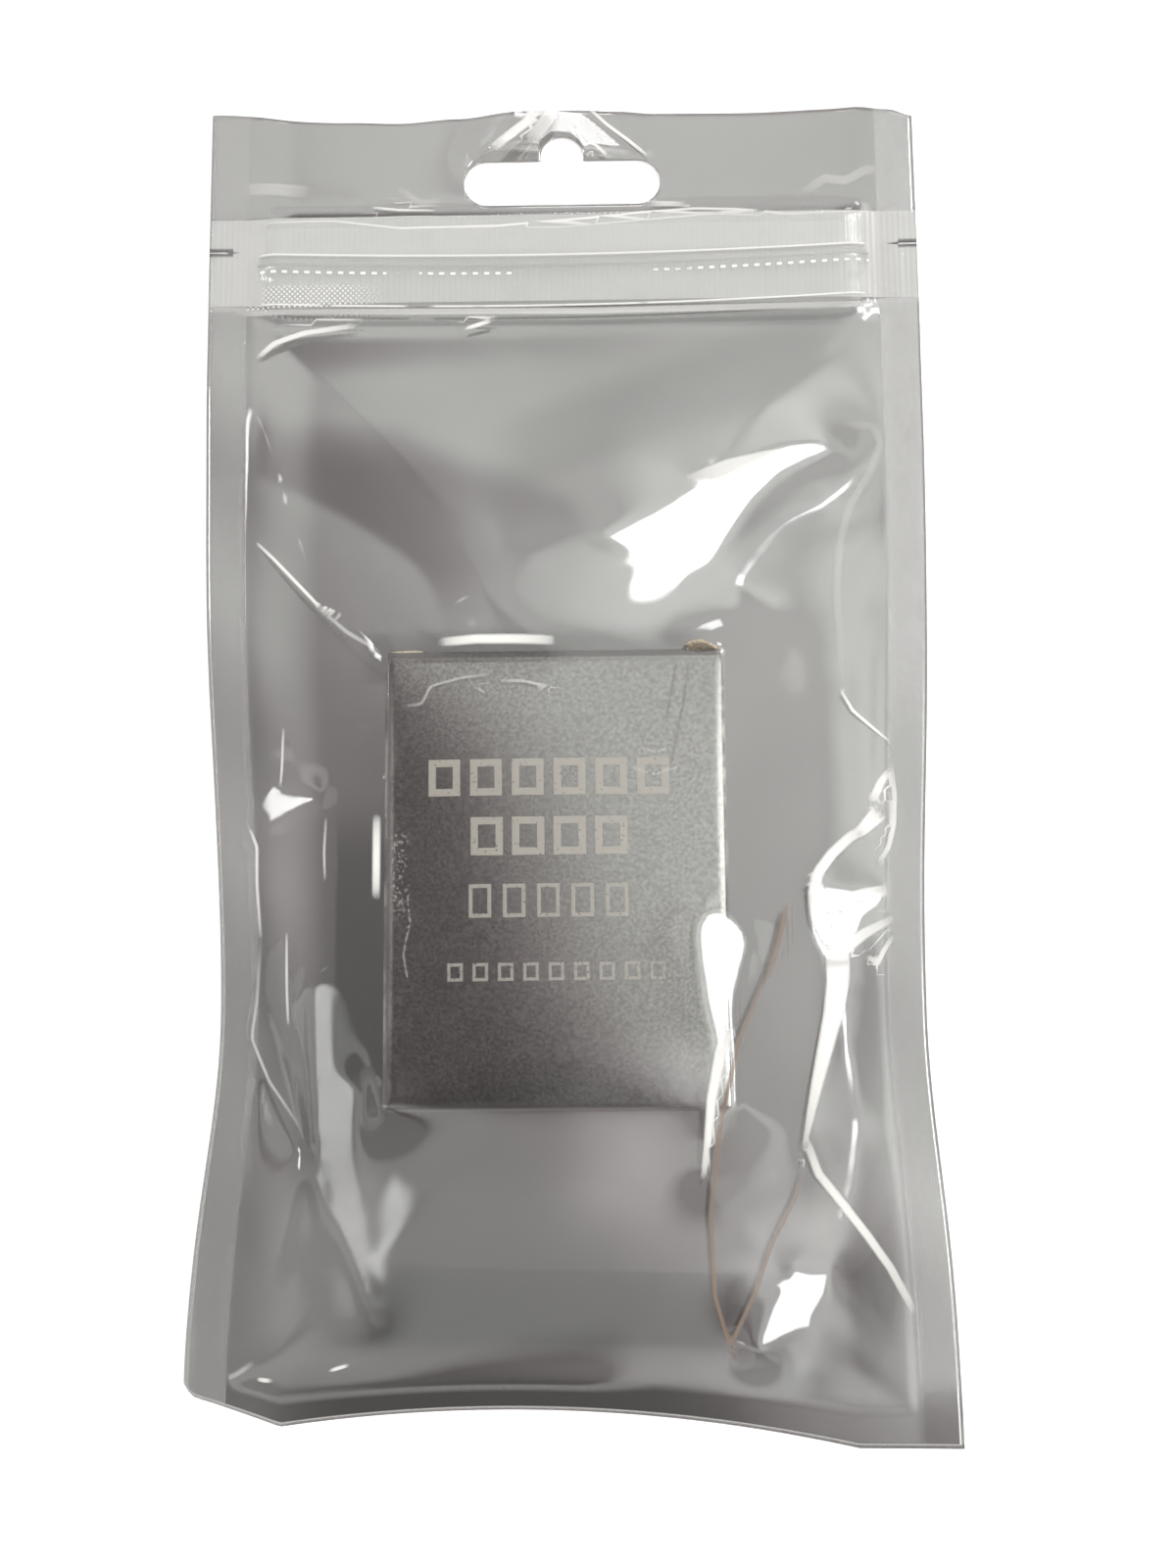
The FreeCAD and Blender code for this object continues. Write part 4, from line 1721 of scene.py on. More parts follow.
    def runs(self, points: tuple[Point, ...]) -> Iterator[tuple[np.ndarray, ...]]:
        """Measures the grid against each straight run of a line of points.

        Args:
            points: The line's points.

        Yields:
            Distance to the run, 1 on its left and -1 on its right, the share along the whole line, and a
            fade that is 1 in the line's middle and 0 at its ends.
        """
        count = len(points) - 1
        for number, (start, end) in enumerate(zip(points, points[1:])):
            away, share = distance_to_line(self.x, self.y, start, end)
            turn = (end[0] - start[0]) * (self.y - start[1]) - (end[1] - start[1]) * (self.x - start[0])
            along = (number + share) / count
            fade = np.sqrt(np.clip(4.0 * along * (1.0 - along), 0.0, 1.0))
            yield away, np.sign(turn), along, fade

    def crease_relief(self) -> np.ndarray:
        """Heights that the sharp creases add.

        Returns:
            The heights.
        """
        relief = np.zeros_like(self.x)
        for crease in self.creases:
            line = np.zeros_like(self.x)
            for away, _, _, fade in self.runs(crease.points):
                line = np.maximum(line, np.clip(1.0 - away / crease.width, 0.0, 1.0) * fade)
            relief += crease.height * line
        return relief

    def line_field(self) -> tuple[np.ndarray, np.ndarray]:
        """Measures the grid against the film's drawn marks: crease whitening, painted glints and painted
        reflections.

        Returns:
            Signed distance to the nearest line, 0.5 on its edge, and how strongly it shows.
        """
        nearest = np.full(self.x.shape, self.mark_range)
        gap = np.full(self.x.shape, self.unmarked)
        show = np.zeros_like(self.x)
        share, margin = self.mark_spread
        for line in self.lines:
            for away, side, along, fade in self.runs(line.points):
                width = line.width_at(along)
                reach = np.maximum(self.mark_reach, width * share + margin)
                near = away / np.maximum(width, 1.0) + (1.0 - fade) * 0.5
                edge = np.maximum(0.5 + (away - width / 2) / np.minimum(width, self.mark_edge), 0.0)
                here = near < nearest
                nearest = np.where(here, near, nearest)
                gap = np.where(here, edge * side, gap)
                shown = line.strength * fade * smooth_step(reach + self.mark_fade, reach, away)
                show = np.where(here, shown, show)
        return gap, show

    def slopes_of(self, heights: np.ndarray) -> tuple[np.ndarray, np.ndarray]:
        """Slopes of a height grid.

        Args:
            heights: The heights.

        Returns:
            The slopes across and along.
        """
        across = np.gradient(heights, axis=0) / np.gradient(self.x, axis=0)
        along = np.gradient(heights, axis=1) / np.gradient(self.y, axis=1)
        return across, along

    def turn_from_lamps(
        self, heights: np.ndarray, kept: np.ndarray, slopes: tuple[np.ndarray, np.ndarray], grip: np.ndarray
    ) -> None:
        """Changes the wanted slopes where the film would mirror a lamp outside its glints.

        Args:
            heights: The film's heights.
            kept: 1 where the film may mirror a lamp.
            slopes: The wanted slopes, changed in place.
            grip: How firmly they are taken, changed in place.
        """
        for lamp in (lamp for lamp in self.lamps.values() if lamp.radiance > self.dim):
            want_x, want_y = self.mirror_slope(lamp, heights)
            off_x, off_y = slopes[0] - want_x, slopes[1] - want_y
            gap = np.maximum(np.hypot(off_x, off_y), 1e-3)
            near = (gap < lamp.reach) & (kept < 0.5)
            push = lamp.reach * self.turn_past / gap
            slopes[0][near] = (want_x + off_x * push)[near]
            slopes[1][near] = (want_y + off_y * push)[near]
            grip[near] = self.lean_grip

    def front(self) -> np.ndarray:
        """The front film's inner face, draped over the carton with its folds and glints.

        Returns:
            The heights.
        """
        base = self.soften(self.tent(), self.soft_rounds)
        slopes = self.slopes_of(base)
        grip = np.ones_like(base)
        kept = np.zeros_like(base)
        for glint in self.glints:
            mask = outline_mask(self.x, self.y, glint.corners, glint.soft)
            want = self.mirror_slope(self.lamps[glint.lit], base)
            for slope, wanted in zip(slopes, want):
                slope += (wanted - slope) * mask * glint.share
            grip += (glint.grip - 1.0) * mask
            kept = np.maximum(kept, mask)
        pouch = smooth_step(0.0, self.seam_free, self.edge_gap())
        over = smooth_step(*self.carton_rest, self.carton_gap())
        header = smooth_step(*self.header_free, self.v - self.sizes.zip_top)
        free = np.maximum(pouch, header * smooth_step(*self.header_end, np.abs(self.u)))
        hold = self.pinned * (1.0 - free) + self.front_hold
        hold = hold + self.carton_hold * over + self.header_hold * header
        floor = self.back() + self.clear * pouch + self.weld_gap * header
        floor = np.where(self.carton_gap() < self.carton_edge, self.carton_top() + self.on_carton, floor)
        heights = self.settle(base, hold, slopes, grip, self.first_steps)
        for _ in range(self.lit_rounds):
            now = self.slopes_of(heights)
            slopes = tuple(was * kept + is_now * (1.0 - kept) for was, is_now in zip(slopes, now))
            firm = 1.0 + (grip - 1.0) * kept
            self.turn_from_lamps(heights, kept, slopes, firm)
            touching = (heights < floor) & (free > 0.0)
            rest = np.where(touching, floor, heights)
            held = np.where(touching, self.touch_hold, hold)
            heights = self.settle(rest, held, slopes, firm, self.lit_steps)
        heights = heights + self.crease_relief()
        return np.where(free > 0.0, np.maximum(heights, floor), heights)


@dataclass
class HangBag:
    """The two films of the bag."""

    sizes: BagSizes
    drape: Drape
    hang_width: float = 33.5
    hang_height: float = 8.0
    hang_middle: float = 97.0
    lobe_radius: float = 3.7
    lobe_rise: float = 0.7
    slot_flat: float = 0.02
    slit_length: float = 5.2
    slit_mouth: float = 0.5
    slit_past: float = 0.3
    cutter_half: float = 8.0

    def sheet(self, name: str, heights: np.ndarray, outward: float) -> bpy.types.Object:
        """A film laid on the grid's places and given its thickness.

        Args:
            name: The piece's name.
            heights: Heights of its inner face.
            outward: 1 if the film is over that face, -1 if it is under it.

        Returns:
            The film.
        """
        drape = self.drape
        shape = bmesh.new()
        shape.loops.layers.uv.new(FLAT_UV)
        marks = shape.loops.layers.uv.new(LINE_UV)
        gap, show = drape.line_field()
        bmesh.ops.create_grid(
            shape, x_segments=drape.columns, y_segments=drape.rows, size=1.0, calc_uvs=True
        )
        for vertex in shape.verts:
            column = round((vertex.co.x + 1.0) / 2.0 * drape.columns)
            row = round((vertex.co.y + 1.0) / 2.0 * drape.rows)
            for loop in vertex.link_loops:
                loop[marks].uv = (gap[column, row], show[column, row])
            vertex.co = Vector((drape.x[column, row], drape.y[column, row], heights[column, row])) * MM
        if outward < 0:
            bmesh.ops.reverse_faces(shape, faces=shape.faces)
        film = as_object(name, shape)
        wall = film.modifiers.new("thickness", "SOLIDIFY")
        wall.thickness = self.sizes.film * MM
        wall.offset = 1.0
        apply_modifiers(film)
        return film

    def hole_shapes(self) -> list[bmesh.types.BMesh]:
        """The hang hole's slot and lobe.

        Returns:
            The two shapes, in millimetres.
        """
        slot = bmesh.new()
        bmesh.ops.create_cube(slot, size=1.0)
        size = Vector((self.hang_width, self.hang_height, self.cutter_half * 2))
        bmesh.ops.scale(slot, verts=slot.verts, vec=size)
        bmesh.ops.bevel(
            slot, geom=edges_along(slot, 2), offset=self.hang_height / 2 - self.slot_flat, segments=12,
            profile=0.5, affect="EDGES", material=-1,
        )
        bmesh.ops.translate(slot, verts=slot.verts, vec=Vector((0.0, self.hang_middle, 0.0)))
        lobe = bmesh.new()
        bmesh.ops.create_cone(
            lobe, cap_ends=True, segments=40, radius1=self.lobe_radius, radius2=self.lobe_radius,
            depth=self.cutter_half * 2,
        )
        lobe_y = self.hang_middle + self.hang_height / 2 + self.lobe_rise
        bmesh.ops.translate(lobe, verts=lobe.verts, vec=Vector((0.0, lobe_y, 0.0)))
        return [slot, lobe]

    def slit_shape(self, side: int) -> bmesh.types.BMesh:
        """The tapered tear slit at one side edge.

        Args:
            side: -1 for the left and 1 for the right.

        Returns:
            The shape, in millimetres.
        """
        slit = bmesh.new()
        bmesh.ops.create_cone(
            slit, cap_ends=True, segments=3, radius1=1.0, radius2=1.0, depth=self.cutter_half * 2
        )
        bmesh.ops.rotate(slit, verts=slit.verts, matrix=Matrix.Rotation(-side * math.pi / 2, 3, "Z"))
        stretch = Vector((self.slit_length / 1.5, self.slit_mouth / math.sqrt(3.0), 1.0))
        bmesh.ops.scale(slit, verts=slit.verts, vec=stretch)
        middle = side * (self.sizes.half_width - self.slit_length / 3 + self.slit_past)
        bmesh.ops.translate(slit, verts=slit.verts, vec=Vector((middle, self.sizes.slit_middle, 0.0)))
        return slit

    def cutters(self) -> list[bpy.types.Object]:
        """Shapes of the hang hole and the tear slits, as objects.

        Returns:
            The objects.
        """
        shapes = [*self.hole_shapes(), self.slit_shape(-1), self.slit_shape(1)]
        for shape in shapes:
            to_metres(shape)
            bmesh.ops.recalc_face_normals(shape, faces=shape.faces)
        return [as_object("cutter", shape) for shape in shapes]

    def cut(self, film: bpy.types.Object) -> None:
        """Cuts the hang hole and the tear slits through a film.

        Args:
            film: The film, changed in place.
        """
        shapes = self.cutters()
        for shape in shapes:
            hole = film.modifiers.new(shape.name, "BOOLEAN")
            hole.operation = "DIFFERENCE"
            hole.solver = "EXACT"
            hole.object = shape
        apply_modifiers(film)
        for shape in shapes:
            bpy.data.objects.remove(shape)

    def build(self) -> list[bpy.types.Object]:
        """Makes both films, cut, dressed and riding on the frame.

        Returns:
            The front and the back film.
        """
        front = self.sheet("front_film_drape", self.drape.front(), 1.0)
        back = self.sheet("back_film_drape", self.drape.back(), -1.0)
        finishes = (ClearFilm(self.sizes).build(), SilverFilm().build())
        slots = ("clear_film", "silver_film")
        nodes = ("front_film", "back_film")
        for film, finish, slot, node in zip((front, back), finishes, slots, nodes):
            self.cut(film)
            film.data.materials.clear()
            film.data.materials.append(finish)
            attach(film, ROOT)
            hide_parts(node)
        return [front, back]


@dataclass
class Carton:
    """The tuck-end carton: a folded body and the lid tucked into its head."""

    low: Vector
    high: Vector
    head_bulge: float = 1.7
    foot_bulge: float = -0.3
    board: float = 0.45
    fold: float = 0.7
    tuck_gap: float = 0.2
    side_clear: float = 0.35
    bow: float = 0.9
    slit: float = 6.2
    sprung: float = 1.5
    lid_fold: float = 0.5
    lid_shoulder: float = 0.625
    lid_round: float = 0.45
    tuck_depth: float = 7.0
    crisp: float = 0.7
    cuts_along: int = 68
    cuts_across: int = 52
    lid_columns: int = 84
    lid_rows: int = 64
    lock_gap: float = 0.25
    lock_fade: float = 0.22
    lock_ease: float = 0.8
    lock_lift: float = 0.35
    lock_drop: float = 0.3
    lock_back: float = 0.25
    brow: float = 1.2
    brow_ease: float = 2.2
    tuck_drop: float = 0.5

    @classmethod
    def from_frame(cls) -> Carton:
        """Reads the carton's box from the frame."""
        low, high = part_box("carton")
        return cls(low / MM, high / MM)

    @property
    def head(self) -> float:
        """The front panel's top edge."""
        return self.high.y - self.head_bulge

    @property
    def foot(self) -> float:
        """The front panel's foot edge."""
        return self.low.y + self.foot_bulge

    def body(self) -> bpy.types.Object:
        """The four panels, bowed, with rounded folds.

        Returns:
            The body.
        """
        front = self.high.z - self.bow
        low = Vector((self.low.x, self.foot, self.low.z))
        high = Vector((self.high.x, self.head, front))
        size, middle = high - low, (high + low) / 2
        shape = bmesh.new()
        bmesh.ops.create_cube(shape, size=1.0)
        bmesh.ops.scale(shape, verts=shape.verts, vec=size)
        bmesh.ops.bevel(
            shape, geom=edges_along(shape, 1), offset=self.fold, segments=4, profile=0.5, affect="EDGES",
            material=-1,
        )
        panel = size.x * 0.8
        for axis, cuts in ((1, self.cuts_along), (0, self.cuts_across)):
            edges = edges_along(shape, axis, panel)
            bmesh.ops.subdivide_edges(shape, edges=edges, cuts=cuts, use_grid_fill=True)
        bmesh.ops.translate(shape, verts=shape.verts, vec=middle)
        for vertex in shape.verts:
            if vertex.co.z > front - 0.05:
                across_share = (vertex.co.x - middle.x) / (size.x / 2)
                along_share = (vertex.co.y - middle.y) / (size.y / 2)
                vertex.co.z += self.bow * (1 - across_share ** 2) * (1 - along_share ** 4)
        for edge in shape.edges:
            edge.smooth = edge.calc_face_angle(0.0) < self.crisp
        to_metres(shape)
        return as_object("carton_body", shape)

    def lid_profile(self, share: float) -> Point:
        """The lid's run from its back hinge up the end, over its shoulder and behind the front panel.

        Args:
            share: 0 at the hinge, 1 at the tuck flap's free edge.

        Returns:
            Distance out of the body's end and height.
        """
        base = self.low.z + self.fold
        tuck = self.high.z - self.bow - self.board - self.tuck_gap
        brow = self.head_bulge * self.brow
        if share < self.lid_fold:
            part = share / self.lid_fold
            out = brow * (1.0 - (1.0 - part) ** self.brow_ease)
            return out, base + (tuck - self.lid_round - base) * part
        if share < self.lid_shoulder:
            angle = (share - self.lid_fold) / (self.lid_shoulder - self.lid_fold) * (math.pi / 2)
            drop = self.lid_round * (1.0 - math.cos(angle))
            return brow - drop, tuck - self.lid_round * (1.0 - math.sin(angle))
        part = (share - self.lid_shoulder) / (1.0 - self.lid_shoulder)
        return brow - self.lid_round - self.tuck_depth * part, tuck - self.tuck_drop * part ** 2

    def lid(self) -> bpy.types.Object:
        """The head's lid: one board sheet with slit locks at both ends of its tuck fold.

        Returns:
            The lid, before it is given its thickness.
        """
        rows = self.lid_rows
        shape = bmesh.new()
        bmesh.ops.create_grid(shape, x_segments=self.lid_columns, y_segments=rows, size=1.0)
        left, right = self.low.x + self.side_clear, self.high.x - self.side_clear
        shares = shape.verts.layers.float.new("share")
        row_at = round(self.lid_fold * rows)
        for vertex in shape.verts:
            vertex[shares] = (vertex.co.y + 1.0) / 2.0
            vertex.co.x = left + (right - left) * (vertex.co.x + 1.0) / 2.0
        slit_edges = [
            edge for edge in shape.edges
            if all(round(v[shares] * rows) == row_at for v in edge.verts)
            and all(min(v.co.x - left, right - v.co.x) < self.slit for v in edge.verts)
        ]
        bmesh.ops.split_edges(shape, edges=slit_edges)
        for vertex in shape.verts:
            out, height = self.lid_profile(vertex[shares])
            around = [v[shares] for face in vertex.link_faces for v in face.verts]
            below = sum(around) / len(around) <= vertex[shares]
            opening = self.slit_opening(vertex.co.x, left, right)
            fade = max(0.0, 1.0 - abs(vertex[shares] - self.lid_fold) / self.lock_fade)
            if vertex[shares] <= self.lid_fold and below:
                out += opening * fade
                height += self.lock_lift * opening * fade
            else:
                height -= self.lock_drop * opening * fade
                out -= self.lock_back * opening * fade
            vertex.co.y = self.head + out
            vertex.co.z = height
        to_metres(shape)
        bmesh.ops.recalc_face_normals(shape, faces=shape.faces)
        return as_object("carton_lid", shape)

    def slit_opening(self, x: float, left: float, right: float) -> float:
        """How far a slit lock stands open at a place across the lid: the right one has sprung open.

        Args:
            x: The place.
            left: The lid's left edge.
            right: The lid's right edge.

        Returns:
            The opening in millimetres.
        """
        at_left = max(0.0, 1.0 - (x - left) / self.slit)
        at_right = max(0.0, 1.0 - (right - x) / self.slit)
        shut = self.lock_gap * math.sin(math.pi * at_left ** self.lock_ease)
        return shut + self.sprung * math.sin(math.pi * at_right ** self.lock_ease)

    def thicken(self, lid: bpy.types.Object) -> None:
        """Gives a lid its board, with a raw inside and raw cut edges.

        Args:
            lid: The lid, changed in place.
        """
        wall = lid.modifiers.new("board", "SOLIDIFY")
        wall.thickness = self.board * MM
        wall.offset = -1.0
        wall.material_offset = 1
        wall.material_offset_rim = 1
        apply_modifiers(lid)

    def build(self) -> list[bpy.types.Object]:
        """Makes the carton's pieces, dressed and riding on the frame.

        Returns:
            The body and the lid.
        """
        body, lid = self.body(), self.lid()
        board = SilverBoard(self.low.x, self.high.x, self.foot, self.head, self.high.z - self.bow).build()
        raw = RawBoard().build()
        for piece in (body, lid):
            piece.data.materials.append(board)
            piece.data.materials.append(raw)
        self.thicken(lid)
        for piece in (body, lid):
            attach(piece, ROOT)
        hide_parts("carton")
        return [body, lid]


@dataclass
class ZipCloser:
    """The two zip strips, which keep their solid form and get a milky plastic finish."""

    nodes: tuple[str, ...] = ("zip_groove_strip", "zip_rib_strip")

    def build(self) -> list[bpy.types.Object]:
        """Dresses the strips.

        Returns:
            The strips.
        """
        finish = ZipPlastic().build()
        strips = [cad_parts[name] for name in self.nodes]
        for strip in strips:
            strip.data.materials.clear()
            strip.data.materials.append(finish)
        return strips


GLINTS = (
    Glint(((-13.0, 22.0), (-5.0, 27.0), (8.0, 30.0), (20.0, 27.0), (18.0, 20.0), (9.0, 16.0), (-5.0, 16.0)),
          Lit.KEY, 4.0, 10.0, 0.6),
    Glint(((46.0, 49.4), (41.8, 49.9), (36.7, 49.1), (30.7, 45.6), (21.3, 40.5), (15.4, 36.2), (6.1, 30.6),
           (14.0, 28.8), (10.2, 21.9), (20.2, 24.8), (24.5, 28.7), (27.9, 34.3), (31.4, 39.5), (35.7, 44.2),
           (40.9, 47.2)), Lit.KEY, 0.6, 60.0),
    Glint(((38.1, -24.9), (46.5, -26.0), (51.5, -25.4), (50.3, -26.7), (46.9, -29.9), (45.9, -34.4),
           (43.4, -37.2), (40.2, -36.3), (38.0, -33.1), (37.8, -29.0)), Lit.RIGHT, 0.5, 40.0),
    Glint(((40.7, -37.6), (42.7, -37.7), (44.8, -37.3), (44.0, -41.8), (41.9, -49.4), (39.1, -58.4),
           (36.8, -65.4), (36.4, -65.4), (37.9, -56.9), (39.8, -47.8)), Lit.RIGHT, 0.5),
    Glint(((23.0, -29.9), (24.7, -31.1), (27.0, -31.9), (28.7, -34.3), (27.2, -38.9), (25.1, -46.6),
           (24.4, -51.8), (22.6, -59.7), (20.9, -66.4), (20.4, -69.6), (20.3, -66.9), (21.5, -57.7),
           (22.4, -51.8), (20.9, -44.6), (19.8, -36.1), (19.6, -33.4), (20.4, -30.7)), Lit.RIGHT, 0.5),
    Glint(((34.6, -84.2), (36.1, -85.4), (40.9, -85.0), (39.2, -88.5), (36.7, -92.3), (33.5, -93.8),
           (28.3, -96.7), (28.0, -95.3), (30.9, -89.6), (33.3, -86.1)), Lit.RIGHT, 0.5, 50.0),
    Glint(((-51.6, -12.5), (-50.0, -9.6), (-46.7, -7.5), (-46.2, -3.7), (-45.4, -8.4), (-41.7, -8.9),
           (-39.2, -10.1), (-43.3, -10.9), (-47.0, -12.6)), Lit.SIDE, 0.4, 50.0),
    Glint(((-40.1, -39.4), (-36.4, -39.5), (-36.1, -54.6), (-32.2, -56.2), (-33.4, -66.7), (-32.6, -78.5),
           (-30.2, -88.7), (-31.3, -90.8), (-33.9, -82.8), (-36.5, -76.9), (-39.0, -69.5), (-40.0, -63.6),
           (-39.9, -53.1)), Lit.FILL, 0.8),
    Glint(((-49.9, -43.7), (-48.9, -43.4), (-44.4, -54.5), (-42.0, -63.5), (-41.0, -66.3), (-42.8, -64.3),
           (-47.8, -56.0), (-49.5, -52.1)), Lit.FILL, 0.4),
    Glint(((-10.0, 101.6), (-2.0, 110.0), (5.0, 110.0), (13.3, 101.6), (7.0, 102.5), (-4.0, 102.5)),
          Lit.GLOW, 0.5),
    Glint(((-12.6, 101.5), (-9.7, 101.4), (-2.0, 110.0), (-5.6, 110.0)), Lit.TOP, 0.4),
    Glint(((4.9, 110.0), (7.4, 110.0), (14.5, 101.5), (13.3, 101.6)), Lit.TOP, 0.4),
    Glint(((-36.0, 92.6), (-31.0, 91.6), (-25.0, 91.8), (-30.0, 92.4)), Lit.TOP, 0.3),
)

# Crease whitening and painted glints, drawn pale in the film's veil; a negative strength draws a tan painted
# reflection.
CREASE_AND_GLINT_MARKS = (
    Line(((-51.1, 33.5), (-47.7, 29.9), (-43.8, 25.5), (-40.0, 21.2), (-35.8, 18.8)), 0.5, 0.9),
    Line(((-40.0, 20.8), (-34.7, 15.8), (-29.2, 11.9)), 0.6, 0.3),
    Line(((-45.6, 1.6), (-46.0, -3.9), (-46.3, -7.7)), 0.4, 0.6),
    Line(((-51.5, -14.0), (-50.0, -17.4), (-49.9, -23.3), (-49.1, -32.5)), 0.5, 0.7),
    Line(((-38.2, -13.7), (-38.3, -19.5), (-38.0, -23.8)), 0.4, 0.4),
    Line(((44.5, 7.3), (46.5, 3.8), (49.3, 1.4), (52.5, -1.3)), 0.5, 0.9),
    Line(((-51.3, 65.7), (-48.6, 67.8), (-43.5, 69.6), (-35.0, 70.9)), 0.9, 0.8),
    Line(((-19.5, 13.2), (-14.0, 13.5), (-8.0, 13.3), (-1.5, 13.0)), 1.3, 1.0),
    Line(((-29.5, -14.5), (-29.5, -27.0)), 1.1, 1.0),
    Line(((-44.4, -31.5), (-44.1, -40.1), (-43.9, -46.6)), 0.4, 0.7),
    Line(((-49.1, -32.5), (-49.7, -42.3), (-50.4, -48.0), (-47.4, -54.9), (-42.0, -62.6)), 0.5, 0.35),
    Line(((-48.4, -100.2), (-46.2, -100.5)), 0.6, 0.8),
    Line(((52.2, -6.0), (50.6, -8.2), (49.2, -11.2)), 1.0, 0.95, 1.5),
    Line(((50.4, -12.8), (48.6, -14.6), (46.6, -16.6)), 2.8, 1.0, 1.6),
    Line(((48.6, -15.0), (45.2, -17.1), (42.2, -19.9), (39.9, -22.9), (39.1, -26.0), (39.2, -28.5)),
         1.4, 1.0, 1.8),
    Line(((39.2, -24.0), (39.9, -30.1), (41.1, -33.0), (42.9, -34.4), (45.1, -34.0), (47.0, -32.6),
          (49.4, -31.3), (52.4, -29.8)), 3.0, 0.85, 1.0),
    Line(((39.6, -28.8), (43.8, -27.1), (47.0, -26.2), (51.4, -25.5)), 1.0, 0.95, 1.8),
    Line(((42.9, -31.5), (42.7, -40.2), (41.7, -45.4), (40.3, -50.6), (38.9, -55.7), (37.6, -60.8),
          (36.3, -66.2)), 4.2, 0.85, 0.6),
    Line(((52.5, -4.8), (52.9, -10.1), (52.6, -14.9), (51.6, -18.7), (50.0, -21.0)), 0.8, 0.8),
    Line(((47.5, -36.1), (49.2, -37.2), (50.3, -35.1), (51.9, -32.8)), 0.8, 0.7),
    Line(((34.5, -28.1), (33.4, -32.8), (31.2, -39.8)), 0.9, -0.45),
    Line(((36.6, -64.5), (38.6, -70.0), (42.5, -74.8), (46.2, -79.6), (49.5, -84.4), (53.2, -91.6)),
         1.2, 0.85),
    Line(((-0.6, 112.0), (-2.6, 107.4), (-5.4, 102.6)), 2.4, 0.5),
    Line(((-37.2, -99.0), (-34.4, -98.2)), 0.5, 0.8),
    Line(((33.5, -33.7), (30.5, -40.2), (26.2, -49.8), (23.1, -62.5), (21.6, -75.9), (22.1, -88.3),
          (24.3, -95.9), (28.5, -87.5), (31.0, -80.6), (34.8, -73.7), (36.1, -69.8)), 0.6, -0.5),
    Line(((-25.1, 3.0), (-22.5, 3.2), (-21.1, 6.1), (-16.5, 7.3), (-11.7, 7.9)), 0.45, 0.2),
    Line(((-10.2, 6.8), (-6.5, 6.7), (-2.7, 5.8), (-4.3, 5.0)), 0.45, 0.25),
    Line(((-13.7, 5.7), (-12.5, 4.8)), 0.45, 0.2),
    Line(((46.4, 52.7), (51.5, 52.2), (52.7, 49.0), (50.4, 43.7), (46.8, 37.6), (44.9, 30.6), (44.4, 22.8),
          (45.0, 7.3)), 1.2, 0.12),
    Line(((-2.6, 111.8), (-6.0, 106.7), (-11.6, 101.2)), 1.7, 0.8),
    Line(((3.4, 112.0), (7.8, 107.6), (11.3, 104.7), (14.8, 101.4)), 0.6, 0.9),
    Line(((2.4, 106.6), (3.8, 102.9), (5.1, 103.8), (7.9, 101.2)), 0.6, 0.9),
    Line(((-55.0, 96.2), (-49.1, 96.4), (-43.0, 95.8)), 2.2, 0.25),
    Line(((40.5, 94.0), (44.8, 97.0), (48.4, 96.4), (52.0, 98.3), (55.5, 97.8)), 1.6, 0.25),
    Line(((15.0, 92.8), (21.0, 92.6)), 0.9, 0.5),
    Line(((-32.5, 92.7), (-27.7, 92.0), (-21.4, 91.8)), 0.5, 0.8),
    Line(((-28.3, 96.5), (-24.2, 93.5), (-20.2, 94.0)), 1.2, 0.2),
    Line(((-62.0, 89.5), (-39.1, 89.8), (-27.6, 88.3), (-10.9, 88.5), (5.0, 89.7), (13.8, 90.6),
          (22.6, 91.3), (29.6, 91.0), (38.4, 89.9), (62.0, 90.7)), 0.5, 0.75),
    Line(((-20.0, 87.9), (0.0, 88.1), (14.0, 89.2), (26.0, 90.1), (38.0, 89.4)), 0.35, 0.5),
    Line(((-16.4, 70.0), (-12.2, 71.4)), 0.7, 0.85),
    Line(((24.6, -47.5), (23.2, -52.0), (21.8, -58.5), (21.1, -65.0), (20.4, -70.4)), 2.0, 0.9, 0.7),
    Line(((20.7, 41.3), (27.1, 44.6), (33.5, 46.8), (43.9, 49.3)), 2.6, 0.6, 1.4),
    Line(((-56.0, 73.9), (-48.1, 73.6), (4.2, 73.0), (47.8, 73.6), (56.0, 74.0)), 1.1, 0.4),
)

TILTS = (
    Tilt(((-53.0, 47.0), (-46.0, 51.0), (-27.0, 50.5), (-10.0, 46.0), (3.0, 42.0), (1.5, 37.5),
          (-13.0, 36.0), (-25.0, 29.0), (-33.0, 25.0), (-40.0, 26.0), (-45.0, 34.0), (-52.0, 39.0)),
         0.07, 0.06),
)

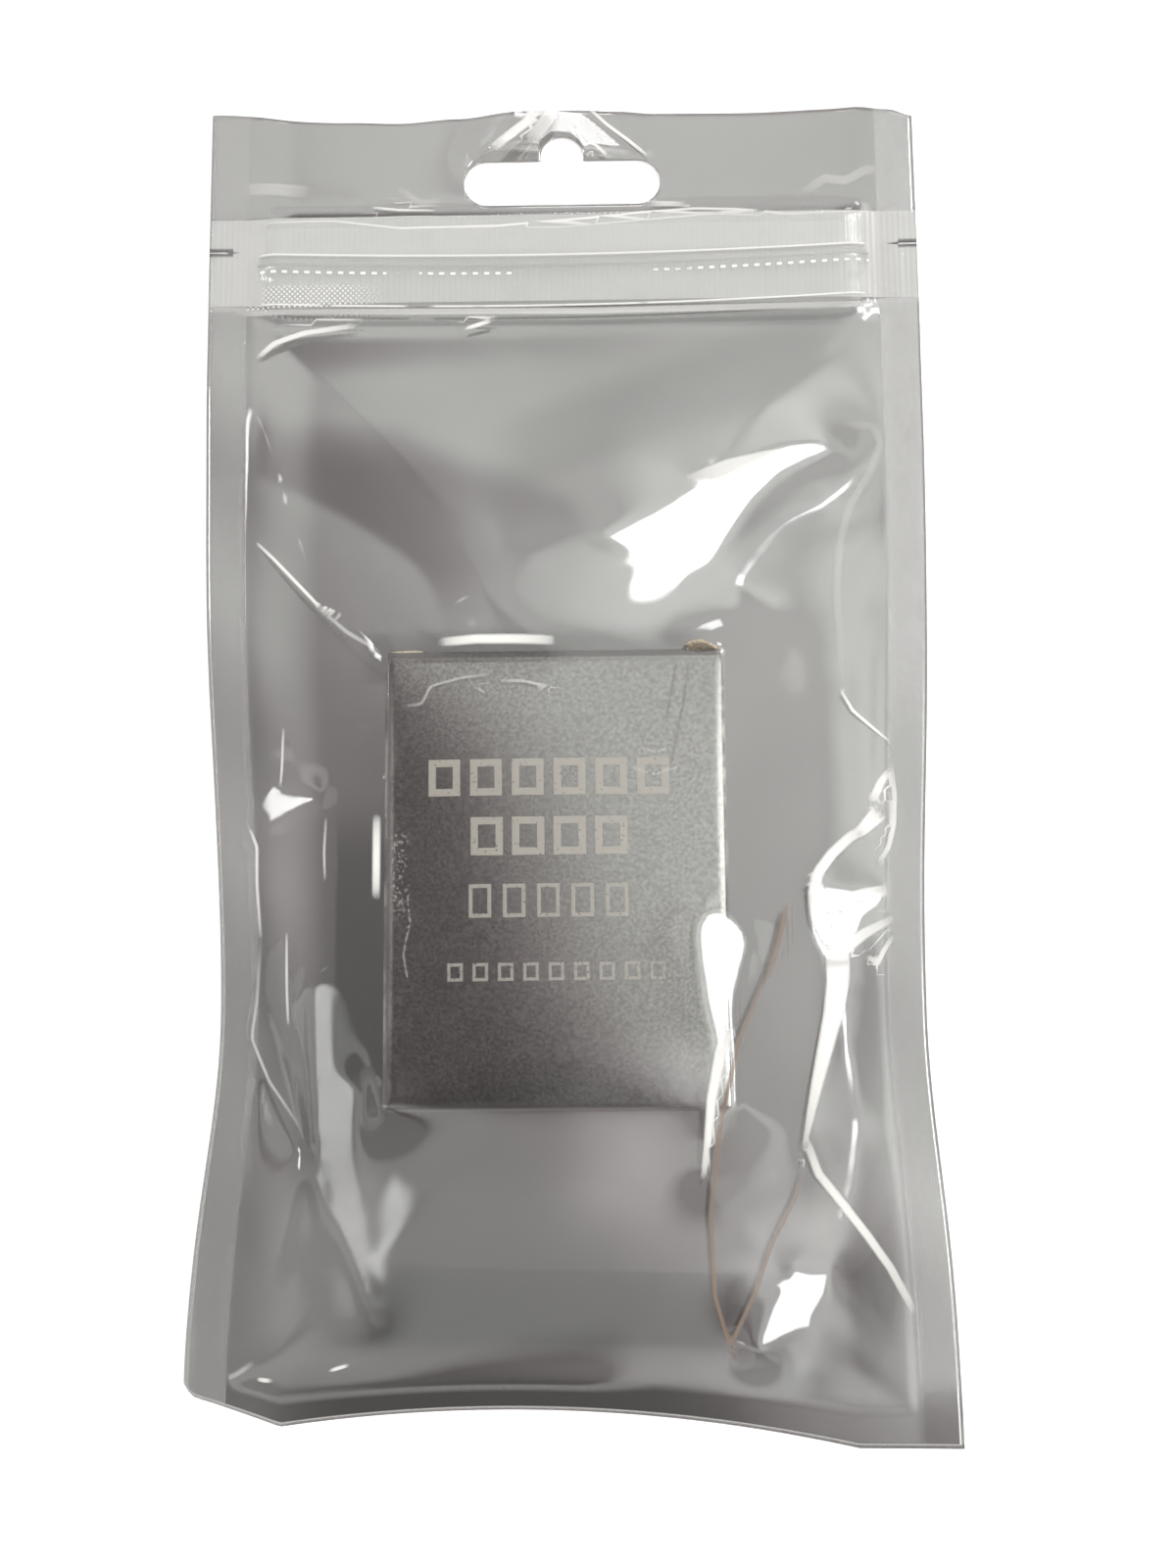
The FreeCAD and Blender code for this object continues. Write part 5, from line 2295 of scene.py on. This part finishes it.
CREASES = (
    Crease(((-50.8, 33.4), (-47.9, 29.4), (-42.2, 24.0), (-35.8, 18.7), (-29.4, 13.7)), 0.5, 2.0),
    Crease(((-40.6, -66.3), (-40.0, -72.0), (-39.4, -84.3)), -0.25, 3.0),
    Crease(((-40.6, -66.3), (-45.0, -80.0), (-50.5, -92.0)), 0.25, 3.5),
    Crease(((-51.6, -14.1), (-49.8, -19.3), (-48.7, -31.5)), 0.3, 1.6),
    Crease(((-38.2, -20.5), (-37.9, -27.2), (-40.0, -31.8)), 0.3, 1.6),
    Crease(((-44.5, -31.1), (-43.9, -39.4), (-43.6, -47.0)), 0.3, 1.6),
)


def main() -> None:
    """Builds the studio and every piece, and reports each one."""
    logging.basicConfig(level=logging.INFO, format="%(name)s: %(message)s")
    sizes = BagSizes.from_frame()
    view = Viewpoint()
    lamps = {
        Lit.KEY: Softbox("key_softbox", (315.0, 385.0, 490.0), 120.0, 180.0, 11.0),
        Lit.SIDE: Softbox("side_softbox", (-420.0, 200.0, 420.0), 100.0, 150.0, 10.0),
        Lit.TOP: Softbox("top_softbox", (0.0, 600.0, 310.0), 90.0, 70.0, 10.0),
        Lit.RIGHT: Softbox("right_softbox", (390.0, -60.0, 520.0), 190.0, 110.0, 10.0),
        Lit.FILL: Softbox("fill_softbox", (-430.0, -290.0, 460.0), 180.0, 180.0, 3.7, 0.8),
        Lit.GLOW: Softbox("glow_softbox", (200.0, 620.0, 320.0), 120.0, 100.0, 8.0),
    }
    Studio(view, tuple(lamps.values())).build()
    carton = Carton.from_frame()
    drape = Drape(
        sizes, BagPlan(sizes), carton.low, carton.high, view, lamps, carton.bow,
        glints=GLINTS, creases=CREASES, tilts=TILTS, lines=CREASE_AND_GLINT_MARKS,
    )
    pieces = [*HangBag(sizes, drape).build(), *carton.build(), *ZipCloser().build()]
    for piece in pieces:
        LOG.info("%s: %d vertices, %d faces", piece.name, len(piece.data.vertices), len(piece.data.polygons))


if __name__ == "__main__":
    main()
